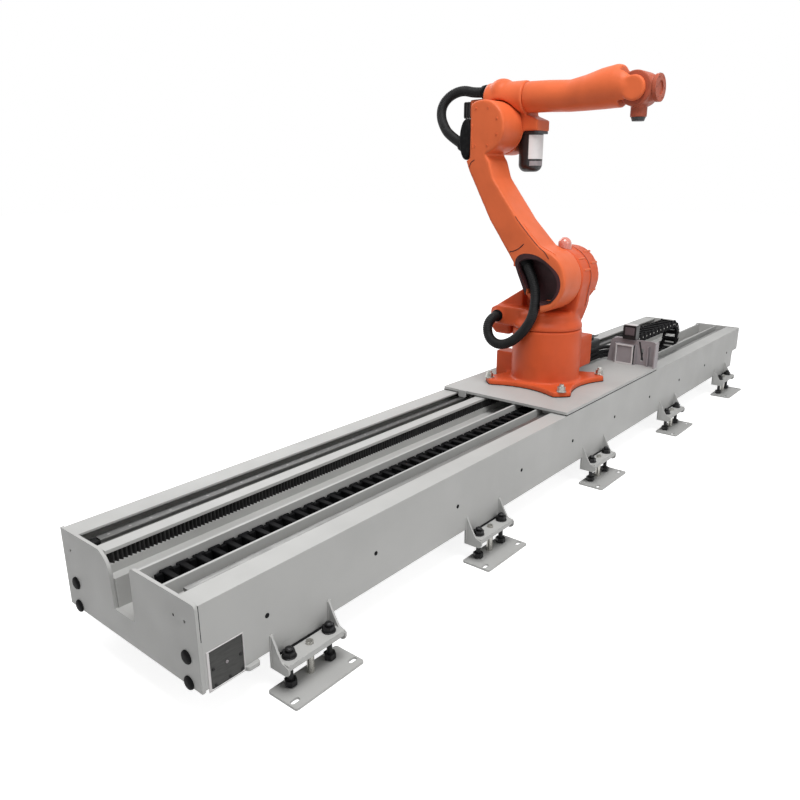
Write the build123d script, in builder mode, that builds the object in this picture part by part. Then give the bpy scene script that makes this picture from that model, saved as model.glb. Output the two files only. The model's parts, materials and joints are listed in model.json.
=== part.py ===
# Robot seventh axis track: a floor track with a driven carriage and a six-axis arm on it.
# Millimetres. X runs along the track, the front side faces -Y, Z is up, the floor is Z = 0.
from build123d import *
from math import acos, cos, pi, radians, sin, sqrt, tan
import os

os.makedirs("parts", exist_ok=True)

# Clearances
seat_gap = 0.3  # between pieces that move past each other
shaft_gap = 0.05  # radial, between a shaft and its hole
tooth_backlash = 0.2  # taken off each flank of the rack and the pinion

# Track frame
track_length = 5000
track_width = 760
beam_bottom = 144
flange_top = 424
flange_width = 91
skin = 8
end_plate = 12
end_plate_top = 428
end_plate_bottom = 137
side_hole_pitch = 500
side_hole_z = 273
side_hole_radius = 6
side_hole_count = round(track_length / side_hole_pitch)
half_length = track_length / 2
half_width = track_width / 2
beam_end = half_length - end_plate
far_cut_x = beam_end - 98
far_cut_z = 262

# Side covers near the near end
cover_depth = 30
cover_z = (132, 262)
cover_low = -half_length + 32
cover_high = cover_low + 119
cover_x = (cover_low - seat_gap, cover_high + seat_gap)

# Inner walls, shelves and channels
shelf_top = 375
shelf_thickness = 10
trough_front = -211
wall = 10
trough_rear = -80
divider = 12
trough_floor = 352
floor_thickness = 8
channel_floor = 235
cross_member_top = 225
cross_member_width = 80
rear_wall_front = 150
rear_wall = 16
ledge_z = 340
ledge_front = 70
slot_front = -46
slot_rear = 80
slot_bottom = channel_floor
slot_corner = 30

# Guide rails and their bearing blocks
rail_y = 252
rail_width = 34
rail_height = 29
rail_inset = 50
block_length = 109
block_width = 70
block_inset = 45

# Carriage plate
carriage_low = -335
carriage_high = 820
carriage_bottom = 430
carriage_thickness = 14
carriage_top = carriage_bottom + carriage_thickness

# Rack and pinion
gear_module = 5
pinion_teeth = 16
pressure_angle = 20
rack_front = 110  # plane of the tooth tips
rack_lip = 12  # top lip of the rack beam that covers the rack
rack_height = 39.7
rack_depth = rear_wall_front - rack_front
pinion_x = 560
pitch = pi * gear_module
pinion_radius = gear_module * pinion_teeth / 2
pinion_y = rack_front + gear_module - pinion_radius
rack_bottom = flange_top - rack_lip - seat_gap - rack_height
pinion_bottom = rack_bottom + 1
pinion_height = rack_height - 2
lip_front = rack_front + 1
rack_half_length = half_length - 40
pinion_shaft_radius = 17.5

# Cable chain
chain_width = 105
chain_height = 50
chain_y = (trough_front + wall + trough_rear) / 2
link_pitch = 60
link_gap = 14
link_groove = 5
bend_inner = 70
bend_x = 1580
chain_start = -half_length + 60
chain_fixed_end = 85
chain_bottom = trough_floor
bend_z = chain_bottom + chain_height + bend_inner
upper_run_bottom = bend_z + bend_inner
chain_bracket_x = carriage_high + 46

# Levelling feet
foot_inset = 383  # from the track's end to the middle of the first foot
foot_pitch = (track_length - 2 * foot_inset) / 4
foot_rows = (-2 * foot_pitch, -foot_pitch, 0, foot_pitch, 2 * foot_pitch)
gusset_spread = 250
gusset = 8
gusset_top = 203
foot_flange_z = 97
foot_flange_thickness = 20
foot_reach = 75  # how far the bracket stands out from the beam
foot_plate_length = 306
foot_plate_width = 135
foot_plate_thickness = 8
stud_spread = 174
stud_radius = 10
stud_reach = 36
stud_top = 142
jack_radius = 13
jack_top = 126
nut_size = 38
nut_height = 20
lower_nut_z = foot_plate_thickness + 4
anchor_spread = 258
anchor_reach = 101
anchor_slot = 35
anchor_width = 18

# Robot placing: the first axis stands at robot_x, the arm faces -Y
robot_x = 115
base_radius = 190
base_foot = 272
base_plate = 30
base_top = 760.5
turret_bottom = 761
arm_seam = 97  # X of the seam between the lower arm and the shoulder drum
arm_width = 193
shoulder_y = -35
shoulder_z = 1035
shoulder_radius = 165
drum_end = 300
drum_cover = 17
elbow_y = 335
elbow_z = 1805
elbow_radius = 135
elbow_width = 132
forearm_z = 1955
forearm_root = -185  # distances along the forearm count towards -Y
forearm_radius = 78
wrist_reach = 421
wrist_radius = 80
wrist_width = 122
flange_face = 523
flange_thickness = 17.7
flange_radius = 62.5
flange_pcd = 100
flange_pilot = 31.5
flange_pilot_depth = 6
flange_hole = 4.25
hose_radius = 27

arm_low = arm_seam - arm_width


def block(x, y, z, mode=Mode.ADD):
    """A box given by its low and high coordinate on each axis."""
    centre = ((x[0] + x[1]) / 2, (y[0] + y[1]) / 2, (z[0] + z[1]) / 2)
    with Locations(centre):
        return Box(x[1] - x[0], y[1] - y[0], z[1] - z[0], mode=mode)


def profile(plane, points):
    """A closed outline drawn on a plane."""
    with BuildSketch(plane) as face:
        with BuildLine():
            Polyline(*points, close=True)
        make_face()
    return face.sketch


# Outer beams: C-sections with flanges turned inwards, drilled along the side
def outer_beam():
    web = -half_width
    edge = web + flange_width
    with BuildPart() as beam:
        with BuildSketch(Plane.YZ.offset(-beam_end)) as section:
            with BuildLine():
                Polyline(
                    (edge, beam_bottom),
                    (web, beam_bottom),
                    (web, flange_top),
                    (edge, flange_top),
                    (edge, flange_top - skin),
                    (web + skin, flange_top - skin),
                    (web + skin, beam_bottom + skin),
                    (edge, beam_bottom + skin),
                    close=True,
                )
            make_face()
            outer_corners = section.vertices().filter_by(lambda v: abs(v.Y - web) < 1)
            fillet(outer_corners, radius=6)
        extrude(amount=2 * beam_end)
        with Locations(Plane.XZ.offset(half_width)):
            with Locations((-1.5, side_hole_z)):
                with GridLocations(side_hole_pitch, 1, side_hole_count, 1):
                    Hole(radius=side_hole_radius, depth=skin + 2)
        # window of the side cover, and the cut-back under the far end
        window_z = (beam_bottom - 1, cover_z[1] + seat_gap)
        block(cover_x, (web - 1, web + cover_depth), window_z, Mode.SUBTRACT)
        block((far_cut_x, beam_end + 1), (web - 1, edge + 1), (beam_bottom - 1, far_cut_z), Mode.SUBTRACT)
        far_corner = beam.edges().filter_by(Axis.Y).filter_by(
            lambda e: abs(e.center().X - far_cut_x) < 1 and abs(e.center().Z - far_cut_z) < 1
        )
        fillet(far_corner, radius=20)
    return beam


front_beam = outer_beam()
front_beam.part.label = "front_beam"
export_step(front_beam.part, "parts/front_beam.step")

with BuildPart() as rear_beam:
    mirror(front_beam.part, about=Plane.XZ)
rear_beam.part.label = "rear_beam"
export_step(rear_beam.part, "parts/rear_beam.step")

# Front inner beam: the rail shelf with the wall of the chain trough
with BuildPart() as front_inner_beam:
    face = profile(
        Plane.YZ.offset(-beam_end),
        [
            (-half_width + skin, shelf_top - shelf_thickness),
            (trough_front, shelf_top - shelf_thickness),
            (trough_front, cross_member_top),
            (trough_front + wall, cross_member_top),
            (trough_front + wall, flange_top),
            (trough_front, flange_top),
            (trough_front, shelf_top),
            (-half_width + skin, shelf_top),
        ],
    )
    extrude(face, amount=2 * beam_end)
front_inner_beam.part.label = "front_inner_beam"
export_step(front_inner_beam.part, "parts/front_inner_beam.step")

# Chain trough: its floor and the divider towards the drive channel
with BuildPart() as chain_trough:
    face = profile(
        Plane.YZ.offset(-beam_end),
        [
            (trough_front + wall, trough_floor - floor_thickness),
            (trough_rear, trough_floor - floor_thickness),
            (trough_rear, cross_member_top),
            (trough_rear + divider, cross_member_top),
            (trough_rear + divider, flange_top),
            (trough_rear, flange_top),
            (trough_rear, trough_floor),
            (trough_front + wall, trough_floor),
        ],
    )
    extrude(face, amount=2 * beam_end)
chain_trough.part.label = "chain_trough"
export_step(chain_trough.part, "parts/chain_trough.step")

# Rack beam: channel floor, stepped wall, rack seat and back wall with a lip over the rack
channel_wall = 8
with BuildPart() as rack_beam:
    face = profile(
        Plane.YZ.offset(-beam_end),
        [
            (trough_rear + divider, cross_member_top),
            (ledge_front + channel_wall, cross_member_top),
            (ledge_front + channel_wall, ledge_z - channel_wall),
            (rack_front + channel_wall, ledge_z - channel_wall),
            (rack_front + channel_wall, rack_bottom - 12),
            (rear_wall_front, rack_bottom - 12),
            (rear_wall_front, cross_member_top),
            (rear_wall_front + rear_wall, cross_member_top),
            (rear_wall_front + rear_wall, flange_top),
            (lip_front, flange_top),
            (lip_front, flange_top - rack_lip),
            (rear_wall_front, flange_top - rack_lip),
            (rear_wall_front, rack_bottom),
            (rack_front, rack_bottom),
            (rack_front, ledge_z),
            (ledge_front, ledge_z),
            (ledge_front, channel_floor),
            (trough_rear + divider, channel_floor),
        ],
    )
    extrude(face, amount=2 * beam_end)
rack_beam.part.label = "rack_beam"
export_step(rack_beam.part, "parts/rack_beam.step")

# Rear rail shelf on its own leg
rear_leg_y = 205
with BuildPart() as rear_inner_beam:
    face = profile(
        Plane.YZ.offset(-beam_end),
        [
            (rear_wall_front + rear_wall, shelf_top - shelf_thickness),
            (rear_leg_y, shelf_top - shelf_thickness),
            (rear_leg_y, cross_member_top),
            (rear_leg_y + wall, cross_member_top),
            (rear_leg_y + wall, shelf_top - shelf_thickness),
            (half_width - skin, shelf_top - shelf_thickness),
            (half_width - skin, shelf_top),
            (rear_wall_front + rear_wall, shelf_top),
        ],
    )
    extrude(face, amount=2 * beam_end)
rear_inner_beam.part.label = "rear_inner_beam"
export_step(rear_inner_beam.part, "parts/rear_inner_beam.step")

# Cross members: rectangular tubes that carry the inner beams
tube_wall = 6
with BuildPart() as cross_members:
    for foot_x in foot_rows:
        with BuildSketch(Plane.XZ.offset(-half_width + skin)):
            middle = (foot_x, (beam_bottom + skin + cross_member_top) / 2)
            tube_height = cross_member_top - beam_bottom - skin
            with Locations(middle):
                Rectangle(cross_member_width, tube_height)
                Rectangle(cross_member_width - 2 * tube_wall, tube_height - 2 * tube_wall, mode=Mode.SUBTRACT)
        extrude(amount=track_width - 2 * skin)
cross_members.part.label = "cross_members"
export_step(cross_members.part, "parts/cross_members.step")


# End plates: closed below, open at the top over the drive channel
def end_plate_outline(bottom):
    flare = (137, end_plate_top)
    with BuildSketch(Plane.YZ.offset(-half_length)) as face:
        with BuildLine():
            Polyline(
                flare,
                (half_width, end_plate_top),
                (half_width, bottom),
                (-half_width, bottom),
                (-half_width, end_plate_top),
                (slot_front - 20, end_plate_top),
            )
            top_corner = (slot_front, end_plate_top - 20)
            ThreePointArc((slot_front - 20, end_plate_top), (slot_front - 6, end_plate_top - 6), top_corner)
            Polyline(top_corner, (slot_front, slot_bottom), (slot_rear - 6, slot_bottom))
            Line((slot_rear - 6, slot_bottom), (slot_rear, ledge_z))
            ThreePointArc((slot_rear, ledge_z), (slot_rear + 20, 402), flare)
        make_face()
        outer = face.vertices().filter_by(lambda v: abs(v.Y) > half_width - 1)
        fillet(outer.sort_by(Axis.Z)[:2], radius=15)
        fillet(face.vertices().filter_by(lambda v: abs(v.Z - slot_bottom) < 1), radius=slot_corner)
    return face.sketch


plug_y = 318
plug_rows = (237, 149)
plug_radius = 22.5
plug_stem_radius = 15
plug_head = 5
rail_screw_z = 357
with BuildPart() as near_end_plate:
    face = end_plate_outline(end_plate_bottom)
    extrude(face, amount=end_plate)
    with Locations(Plane.YZ.offset(-half_length)):
        with Locations(*[(side * plug_y, z) for side in (-1, 1) for z in plug_rows]):
            Hole(radius=plug_stem_radius, depth=end_plate)
        with Locations((-270, rail_screw_z), (-325, rail_screw_z), (330, rail_screw_z)):
            Hole(radius=5, depth=end_plate)
near_end_plate.part.label = "near_end_plate"
export_step(near_end_plate.part, "parts/near_end_plate.step")

with BuildPart() as far_plate_blank:
    face = end_plate_outline(far_cut_z - 35)
    extrude(face, amount=end_plate)
    plate_x = (-half_length - 1, -beam_end + 1)
    leg = half_width - flange_width - 20
    for plate_y in ((-half_width - 1, -leg), (leg, half_width + 1)):
        block(plate_x, plate_y, (0, far_cut_z), Mode.SUBTRACT)
with BuildPart() as far_end_plate:
    mirror(far_plate_blank.part, about=Plane.YZ)
far_end_plate.part.label = "far_end_plate"
export_step(far_end_plate.part, "parts/far_end_plate.step")

# Rubber plugs in the near end plate
with BuildPart() as end_plugs:
    for side in (-1, 1):
        for plug_z in plug_rows:
            with BuildSketch(Plane.YZ.offset(-half_length)):
                with Locations((side * plug_y, plug_z)):
                    Circle(plug_stem_radius - shaft_gap)
            extrude(amount=end_plate - 2)
            with BuildSketch(Plane.YZ.offset(-half_length)):
                with Locations((side * plug_y, plug_z)):
                    Circle(plug_radius)
            extrude(amount=-plug_head, taper=20)
end_plugs.part.label = "end_plugs"
export_step(end_plugs.part, "parts/end_plugs.step")

# Side covers near the near end: machined plates set into the skin, with six screw holes
cover_holes = [
    (cover_low + 12, 197),
    (cover_low + 60, 197),
    (cover_high - 9, 194),
    (cover_low + 17, 140),
    (cover_low + 68, 140),
    (cover_high - 6, 140),
]
cover_thickness = 8
cover_recess = 2
with BuildPart() as front_side_cover:
    block(
        (cover_low, cover_high),
        (-half_width + cover_recess, -half_width + cover_recess + cover_thickness),
        cover_z,
    )
    fillet(front_side_cover.edges().filter_by(Axis.Y), radius=8)
    with Locations(Plane.XZ.offset(half_width)):
        with Locations(*cover_holes):
            Hole(radius=4, depth=cover_recess + cover_thickness + 1)
front_side_cover.part.label = "front_side_cover"
export_step(front_side_cover.part, "parts/front_side_cover.step")

with BuildPart() as rear_side_cover:
    mirror(front_side_cover.part, about=Plane.XZ)
rear_side_cover.part.label = "rear_side_cover"
export_step(rear_side_cover.part, "parts/rear_side_cover.step")

# Jacking lugs under the beams
lug_x = (cover_high + 2, cover_high + 52)
lug_reach = 50
lug_nose = 16
lug_thickness = 13
with BuildPart() as jacking_lugs:
    for side in (-1, 1):
        low, high = sorted((side * (half_width + lug_nose), side * (half_width - lug_reach)))
        block(lug_x, (low, high), (beam_bottom - lug_thickness, beam_bottom))
    fillet(jacking_lugs.edges().filter_by(Axis.Z), radius=12)
jacking_lugs.part.label = "jacking_lugs"
export_step(jacking_lugs.part, "parts/jacking_lugs.step")

# Guide rails: profiled bars with a waist on both sides
rail_half_length = beam_end - rail_inset
rail_waist = 3.5


def guide_rail(rail_middle):
    half = rail_width / 2
    with BuildPart() as rail:
        face = profile(
            Plane.YZ.offset(-rail_half_length),
            [
                (rail_middle - half, shelf_top),
                (rail_middle + half, shelf_top),
                (rail_middle + half, shelf_top + 10),
                (rail_middle + half - rail_waist, shelf_top + 15),
                (rail_middle + half, shelf_top + 20),
                (rail_middle + half, shelf_top + rail_height - 2),
                (rail_middle + half - 2, shelf_top + rail_height),
                (rail_middle - half + 2, shelf_top + rail_height),
                (rail_middle - half, shelf_top + rail_height - 2),
                (rail_middle - half, shelf_top + 20),
                (rail_middle - half + rail_waist, shelf_top + 15),
                (rail_middle - half, shelf_top + 10),
            ],
        )
        extrude(face, amount=2 * rail_half_length)
    return rail


front_rail = guide_rail(-rail_y)
front_rail.part.label = "front_rail"
export_step(front_rail.part, "parts/front_rail.step")

rear_rail = guide_rail(rail_y)
rear_rail.part.label = "rear_rail"
export_step(rear_rail.part, "parts/rear_rail.step")

# Gear rack: straight teeth along the drive channel, cut in phase with the pinion
tip_half = pitch / 4 - gear_module * tan(radians(pressure_angle)) - tooth_backlash
root_depth = 1.25 * gear_module
root_half = pitch / 4 + root_depth * tan(radians(pressure_angle)) - tooth_backlash
pitch_line = rack_front + gear_module
first_tooth = pinion_x - pitch / 2 - pitch * int((pinion_x + rack_half_length) / pitch)
tooth_count = int((rack_half_length - first_tooth) / pitch)
with BuildPart() as gear_rack:
    tooth_edge = []
    for tooth in range(tooth_count):
        middle = first_tooth + tooth * pitch
        tooth_edge += [
            (middle - root_half, pitch_line + root_depth),
            (middle - tip_half, rack_front),
            (middle + tip_half, rack_front),
            (middle + root_half, pitch_line + root_depth),
        ]
    rack_ends = (tooth_edge[0][0] - 1, tooth_edge[-1][0] + 1)
    back = rack_front + rack_depth
    tooth_edge = [(rack_ends[0], back), (rack_ends[0], tooth_edge[0][1])] + tooth_edge
    tooth_edge += [(rack_ends[1], tooth_edge[-1][1]), (rack_ends[1], back)]
    face = profile(Plane.XY.offset(rack_bottom), tooth_edge)
    extrude(face, amount=rack_height)
gear_rack.part.label = "gear_rack"
export_step(gear_rack.part, "parts/gear_rack.step")

# Levelling feet: welded brackets under both beams, bolted to floor plates
gusset_outline = [
    (-half_width, gusset_top),
    (-half_width - 26, 152),
    (-half_width - 46, 119),
    (-half_width - foot_reach - 3, 108),
    (-half_width - foot_reach - 3, 92),
    (-half_width - foot_reach + 2, 82),
    (-half_width - foot_reach + 12, 77),
    (-half_width + skin, 77),
    (-half_width + skin, beam_bottom),
    (-half_width, beam_bottom),
]
foot_flange_top = foot_flange_z + foot_flange_thickness


def foot_brackets():
    with BuildPart() as brackets:
        for foot_x in foot_rows:
            for offset in (-gusset_spread / 2, gusset_spread / 2):
                face = profile(Plane.YZ.offset(foot_x + offset - gusset / 2), gusset_outline)
                extrude(face, amount=gusset)
            block(
                (foot_x - gusset_spread / 2, foot_x + gusset_spread / 2),
                (-half_width - foot_reach, -half_width + skin),
                (foot_flange_z, foot_flange_top),
            )
            block(
                (foot_x - gusset_spread / 2, foot_x + gusset_spread / 2),
                (-half_width, -half_width + skin),
                (77, beam_bottom),
            )
            with Locations(Plane.XY.offset(foot_flange_top)):
                with Locations((foot_x, -half_width - stud_reach)):
                    Hole(radius=jack_radius + shaft_gap, depth=foot_flange_thickness)
                    with GridLocations(stud_spread, 1, 2, 1):
                        Hole(radius=stud_radius + shaft_gap, depth=foot_flange_thickness)
    return brackets


front_foot_brackets = foot_brackets()
front_foot_brackets.part.label = "front_foot_brackets"
export_step(front_foot_brackets.part, "parts/front_foot_brackets.step")

with BuildPart() as rear_foot_brackets:
    mirror(front_foot_brackets.part, about=Plane.XZ)
rear_foot_brackets.part.label = "rear_foot_brackets"
export_step(rear_foot_brackets.part, "parts/rear_foot_brackets.step")

plate_middle = -half_width - foot_plate_width / 2
with BuildPart() as front_foot_plates:
    with BuildSketch(Plane.XY):
        with Locations(*[(foot_x, plate_middle) for foot_x in foot_rows]):
            RectangleRounded(foot_plate_length, foot_plate_width, 10)
        with Locations(*[(foot_x, -half_width - anchor_reach) for foot_x in foot_rows]):
            with GridLocations(anchor_spread, 1, 2, 1):
                SlotOverall(anchor_slot, anchor_width, mode=Mode.SUBTRACT)
    extrude(amount=foot_plate_thickness)
front_foot_plates.part.label = "front_foot_plates"
export_step(front_foot_plates.part, "parts/front_foot_plates.step")

with BuildPart() as rear_foot_plates:
    mirror(front_foot_plates.part, about=Plane.XZ)
rear_foot_plates.part.label = "rear_foot_plates"
export_step(rear_foot_plates.part, "parts/rear_foot_plates.step")

stud_spots = [
    (foot_x + offset, side * (half_width + stud_reach))
    for side in (-1, 1)
    for foot_x in foot_rows
    for offset in (-stud_spread / 2, stud_spread / 2)
]
jack_spots = [(foot_x, side * (half_width + stud_reach)) for side in (-1, 1) for foot_x in foot_rows]

with BuildPart() as levelling_studs:
    with BuildSketch(Plane.XY.offset(foot_plate_thickness)):
        with Locations(*stud_spots):
            RegularPolygon(stud_radius, 12)
    extrude(amount=stud_top - foot_plate_thickness)
levelling_studs.part.label = "levelling_studs"
export_step(levelling_studs.part, "parts/levelling_studs.step")

with BuildPart() as levelling_nuts:
    for nut_z in (lower_nut_z, foot_flange_top):
        with BuildSketch(Plane.XY.offset(nut_z)):
            with Locations(*stud_spots):
                RegularPolygon(nut_size / 2, 6, major_radius=False)
                RegularPolygon(stud_radius + shaft_gap, 12, mode=Mode.SUBTRACT)
        extrude(amount=nut_height)
levelling_nuts.part.label = "levelling_nuts"
export_step(levelling_nuts.part, "parts/levelling_nuts.step")

with BuildPart() as jack_screws:
    with BuildSketch(Plane.XY.offset(foot_plate_thickness)):
        with Locations(*jack_spots):
            RegularPolygon(jack_radius, 12)
    extrude(amount=jack_top - foot_plate_thickness)
jack_screws.part.label = "jack_screws"
export_step(jack_screws.part, "parts/jack_screws.step")


# Cable chain: straight runs and a bend, drawn as the side view of its links
def chain_run(start, length, bottom):
    """Side outline of a straight run: each link is grooved where it meets the next."""
    links = max(1, round(length / link_pitch))
    step = length / links
    top = bottom + chain_height
    upper, lower = [], []
    for link in range(links):
        low = start + link * step
        high = low + step
        upper += [(low, top - link_groove), (low + link_gap, top - link_groove)]
        upper += [(low + link_gap, top), (high, top)]
        lower += [(low, bottom + link_groove), (low + link_gap, bottom + link_groove)]
        lower += [(low + link_gap, bottom), (high, bottom)]
    with BuildPart() as run:
        face = profile(Plane.XZ.offset(-chain_y - chain_width / 2), upper + lower[::-1])
        extrude(face, amount=chain_width)
    return run


def chain_quarter(upper_half):
    """A quarter of the bend: three links, each turned thirty degrees from the last."""
    bend_outer = bend_inner + chain_height - 2 * seat_gap
    turn = 1 if upper_half else -1
    gap = seat_gap / 2 * turn
    outer, inner = [], []
    for link in range(3):
        for part_way, groove in ((0.0, link_groove), (0.22, link_groove), (0.22, 0), (1.0, 0)):
            angle = radians(30 * (link + part_way))
            outer.append(((bend_outer - groove) * cos(angle), turn * (bend_outer - groove) * sin(angle)))
            inner.append(((bend_inner + groove) * cos(angle), turn * (bend_inner + groove) * sin(angle)))
    points = [(bend_x + x, bend_z + z + gap) for x, z in outer + inner[::-1]]
    with BuildPart() as quarter:
        face = profile(Plane.XZ.offset(-chain_y - chain_width / 2), points)
        extrude(face, amount=chain_width)
        block(
            (bend_x - 10, bend_x),
            (chain_y - chain_width, chain_y + chain_width),
            (bend_z - 2 * bend_outer, bend_z + 2 * bend_outer),
            Mode.SUBTRACT,
        )
    return quarter


chain_fixed_run = chain_run(chain_start, chain_fixed_end - chain_start, chain_bottom)
chain_fixed_run.part.label = "chain_fixed_run"
export_step(chain_fixed_run.part, "parts/chain_fixed_run.step")

chain_lower_run = chain_run(chain_fixed_end, bend_x - seat_gap - chain_fixed_end, chain_bottom)
chain_lower_run.part.label = "chain_lower_run"
export_step(chain_lower_run.part, "parts/chain_lower_run.step")

chain_upper_run = chain_run(chain_bracket_x, bend_x - seat_gap - chain_bracket_x, upper_run_bottom)
chain_upper_run.part.label = "chain_upper_run"
export_step(chain_upper_run.part, "parts/chain_upper_run.step")

chain_bend_lower = chain_quarter(False)
chain_bend_lower.part.label = "chain_bend_lower"
export_step(chain_bend_lower.part, "parts/chain_bend_lower.step")

chain_bend_upper = chain_quarter(True)
chain_bend_upper.part.label = "chain_bend_upper"
export_step(chain_bend_upper.part, "parts/chain_bend_upper.step")

# Carriage plate on four bearing blocks
shaft_bore = pinion_shaft_radius + 12
with BuildPart() as carriage_plate:
    block((carriage_low, carriage_high), (-half_width, half_width), (carriage_bottom, carriage_top))
    fillet(carriage_plate.edges().filter_by(Axis.Z), radius=8)
    with Locations(Plane.XY.offset(carriage_top)):
        with Locations((pinion_x, pinion_y)):
            Hole(radius=shaft_bore, depth=carriage_thickness)
carriage_plate.part.label = "carriage_plate"
export_step(carriage_plate.part, "parts/carriage_plate.step")

block_middles = [
    (x, side * rail_y)
    for x in (carriage_low + block_inset + block_length / 2, carriage_high - block_inset - block_length / 2)
    for side in (-1, 1)
]
block_bottom = shelf_top + 5
with BuildPart() as bearing_blocks:
    for x, y in block_middles:
        jaw = rail_width / 2 + seat_gap
        half = block_width / 2
        face = profile(
            Plane.YZ.offset(x - block_length / 2),
            [
                (y - half, block_bottom),
                (y - jaw, block_bottom),
                (y - jaw, shelf_top + rail_height + seat_gap),
                (y + jaw, shelf_top + rail_height + seat_gap),
                (y + jaw, block_bottom),
                (y + half, block_bottom),
                (y + half, carriage_bottom),
                (y - half, carriage_bottom),
            ],
        )
        extrude(face, amount=block_length)
bearing_blocks.part.label = "bearing_blocks"
export_step(bearing_blocks.part, "parts/bearing_blocks.step")

# Wiper bracket on the plate's edge over the rear rail
wiper_thickness = 5
with BuildPart() as rail_wiper:
    block(
        (carriage_low - wiper_thickness, carriage_low),
        (rail_y - 24, rail_y + 24),
        (shelf_top + rail_height + 2, carriage_top),
    )
    fillet(rail_wiper.edges().filter_by(Axis.X).group_by(Axis.Z)[0], radius=8)
rail_wiper.part.label = "rail_wiper"
export_step(rail_wiper.part, "parts/rail_wiper.step")

# Drive: right-angle gearbox with a lying servo motor, its shaft down through the plate
gearbox_size = 120
gearbox_flange = 12
gearbox_top = carriage_top + gearbox_flange + 115
motor_size = 100
motor_length = 225
motor_z = gearbox_top - 60
with BuildPart() as drive_gearbox:
    with BuildSketch(Plane.XY.offset(carriage_top)):
        with Locations((pinion_x, pinion_y)):
            Circle(82)
    extrude(amount=gearbox_flange)
    with BuildSketch(Plane.XY.offset(carriage_top + gearbox_flange)):
        with Locations((pinion_x, pinion_y)):
            RectangleRounded(gearbox_size, gearbox_size, 14)
    extrude(amount=gearbox_top - carriage_top - gearbox_flange)
    with BuildSketch(Plane.YZ.offset(pinion_x + gearbox_size / 2)):
        with Locations((pinion_y, motor_z)):
            Circle(motor_size / 2)
    extrude(amount=15)
    with BuildSketch(Plane.XY.offset(carriage_top)):
        with Locations((pinion_x, pinion_y)):
            Circle(pinion_shaft_radius + shaft_gap)
    extrude(amount=60, mode=Mode.SUBTRACT)
drive_gearbox.part.label = "drive_gearbox"
export_step(drive_gearbox.part, "parts/drive_gearbox.step")

motor_start = pinion_x + gearbox_size / 2 + 15
with BuildPart() as drive_motor:
    with BuildSketch(Plane.YZ.offset(motor_start)):
        with Locations((pinion_y, motor_z)):
            RectangleRounded(motor_size, motor_size, 12)
    extrude(amount=motor_length)
    with BuildSketch(Plane.YZ.offset(motor_start + motor_length)):
        with Locations((pinion_y, motor_z)):
            RectangleRounded(motor_size - 12, motor_size - 12, 10)
    extrude(amount=20)
    with BuildSketch(Plane.XY.offset(motor_z + motor_size / 2)):
        with Locations((motor_start + motor_length - 40, pinion_y)):
            RectangleRounded(46, 40, 6)
    extrude(amount=18)
drive_motor.part.label = "drive_motor"
export_step(drive_motor.part, "parts/drive_motor.step")

# Pinion with involute teeth, one piece with its shaft
base_circle = pinion_radius * cos(radians(pressure_angle))
tip_circle = pinion_radius + gear_module
root_circle = pinion_radius - 1.25 * gear_module


def involute(angle):
    return tan(angle) - angle


def half_tooth(radius):
    """Half the angle that a tooth fills at a radius."""
    turn = acos(min(1.0, base_circle / radius))
    rolled = involute(radians(pressure_angle)) - involute(turn)
    return pi / (2 * pinion_teeth) + rolled - tooth_backlash / pinion_radius


flank = [root_circle, base_circle, pinion_radius, (pinion_radius + tip_circle) / 2, tip_circle]
with BuildPart() as pinion:
    outline = []
    for tooth in range(pinion_teeth):
        centre_angle = pi / 2 + 2 * pi * tooth / pinion_teeth
        rising = [(r, centre_angle - half_tooth(max(r, base_circle))) for r in flank]
        falling = [(r, centre_angle + half_tooth(max(r, base_circle))) for r in reversed(flank)]
        outline += [(pinion_x + r * cos(a), pinion_y + r * sin(a)) for r, a in rising + falling]
    face = profile(Plane.XY.offset(pinion_bottom), outline)
    extrude(face, amount=pinion_height)
    with BuildSketch(Plane.XY.offset(pinion_bottom + pinion_height)):
        with Locations((pinion_x, pinion_y)):
            Circle(pinion_shaft_radius)
    extrude(amount=carriage_top + 55 - pinion_bottom - pinion_height)
pinion.part.label = "pinion"
export_step(pinion.part, "parts/pinion.step")

# Cable stand at the carriage's far edge: gusseted upright, chain shelf and junction box
stand_thickness = 8
stand_depth = 44
stand_front = -390
stand_rear = -58
stand_panel_top = 572
stand_x = carriage_high - stand_thickness - stand_depth
panel_y = (-237, -123)
cable_entry_bottom = 455
with BuildPart() as cable_stand:
    face = profile(
        Plane.YZ.offset(carriage_high - stand_thickness),
        [
            (-half_width, carriage_top),
            (stand_rear, carriage_top),
            (stand_rear - 20, stand_panel_top + 12),
            (-120, upper_run_bottom + chain_height + 6),
            (-330, upper_run_bottom + chain_height + 6),
            (-half_width, upper_run_bottom + chain_height),
        ],
    )
    extrude(face, amount=stand_thickness)
    block((stand_x, carriage_high), (-half_width, -half_width + stand_thickness), (carriage_top, 600))
    for rib_y in (-330, panel_y[0] - 12, panel_y[1] + 6):
        block(
            (stand_x + 20, carriage_high - stand_thickness),
            (rib_y, rib_y + stand_thickness),
            (carriage_top, stand_panel_top - 6),
        )
    # entry block that the chain's last link is bolted to
    block(
        (carriage_high, chain_bracket_x - seat_gap),
        (chain_y - chain_width / 2, chain_y + chain_width / 2),
        (cable_entry_bottom, upper_run_bottom + chain_height),
    )
    block(
        (carriage_high - stand_thickness - 1, carriage_high + 1),
        (-288, -276),
        (468, 546),
        Mode.SUBTRACT,
    )
cable_stand.part.label = "cable_stand"
export_step(cable_stand.part, "parts/cable_stand.step")

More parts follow.
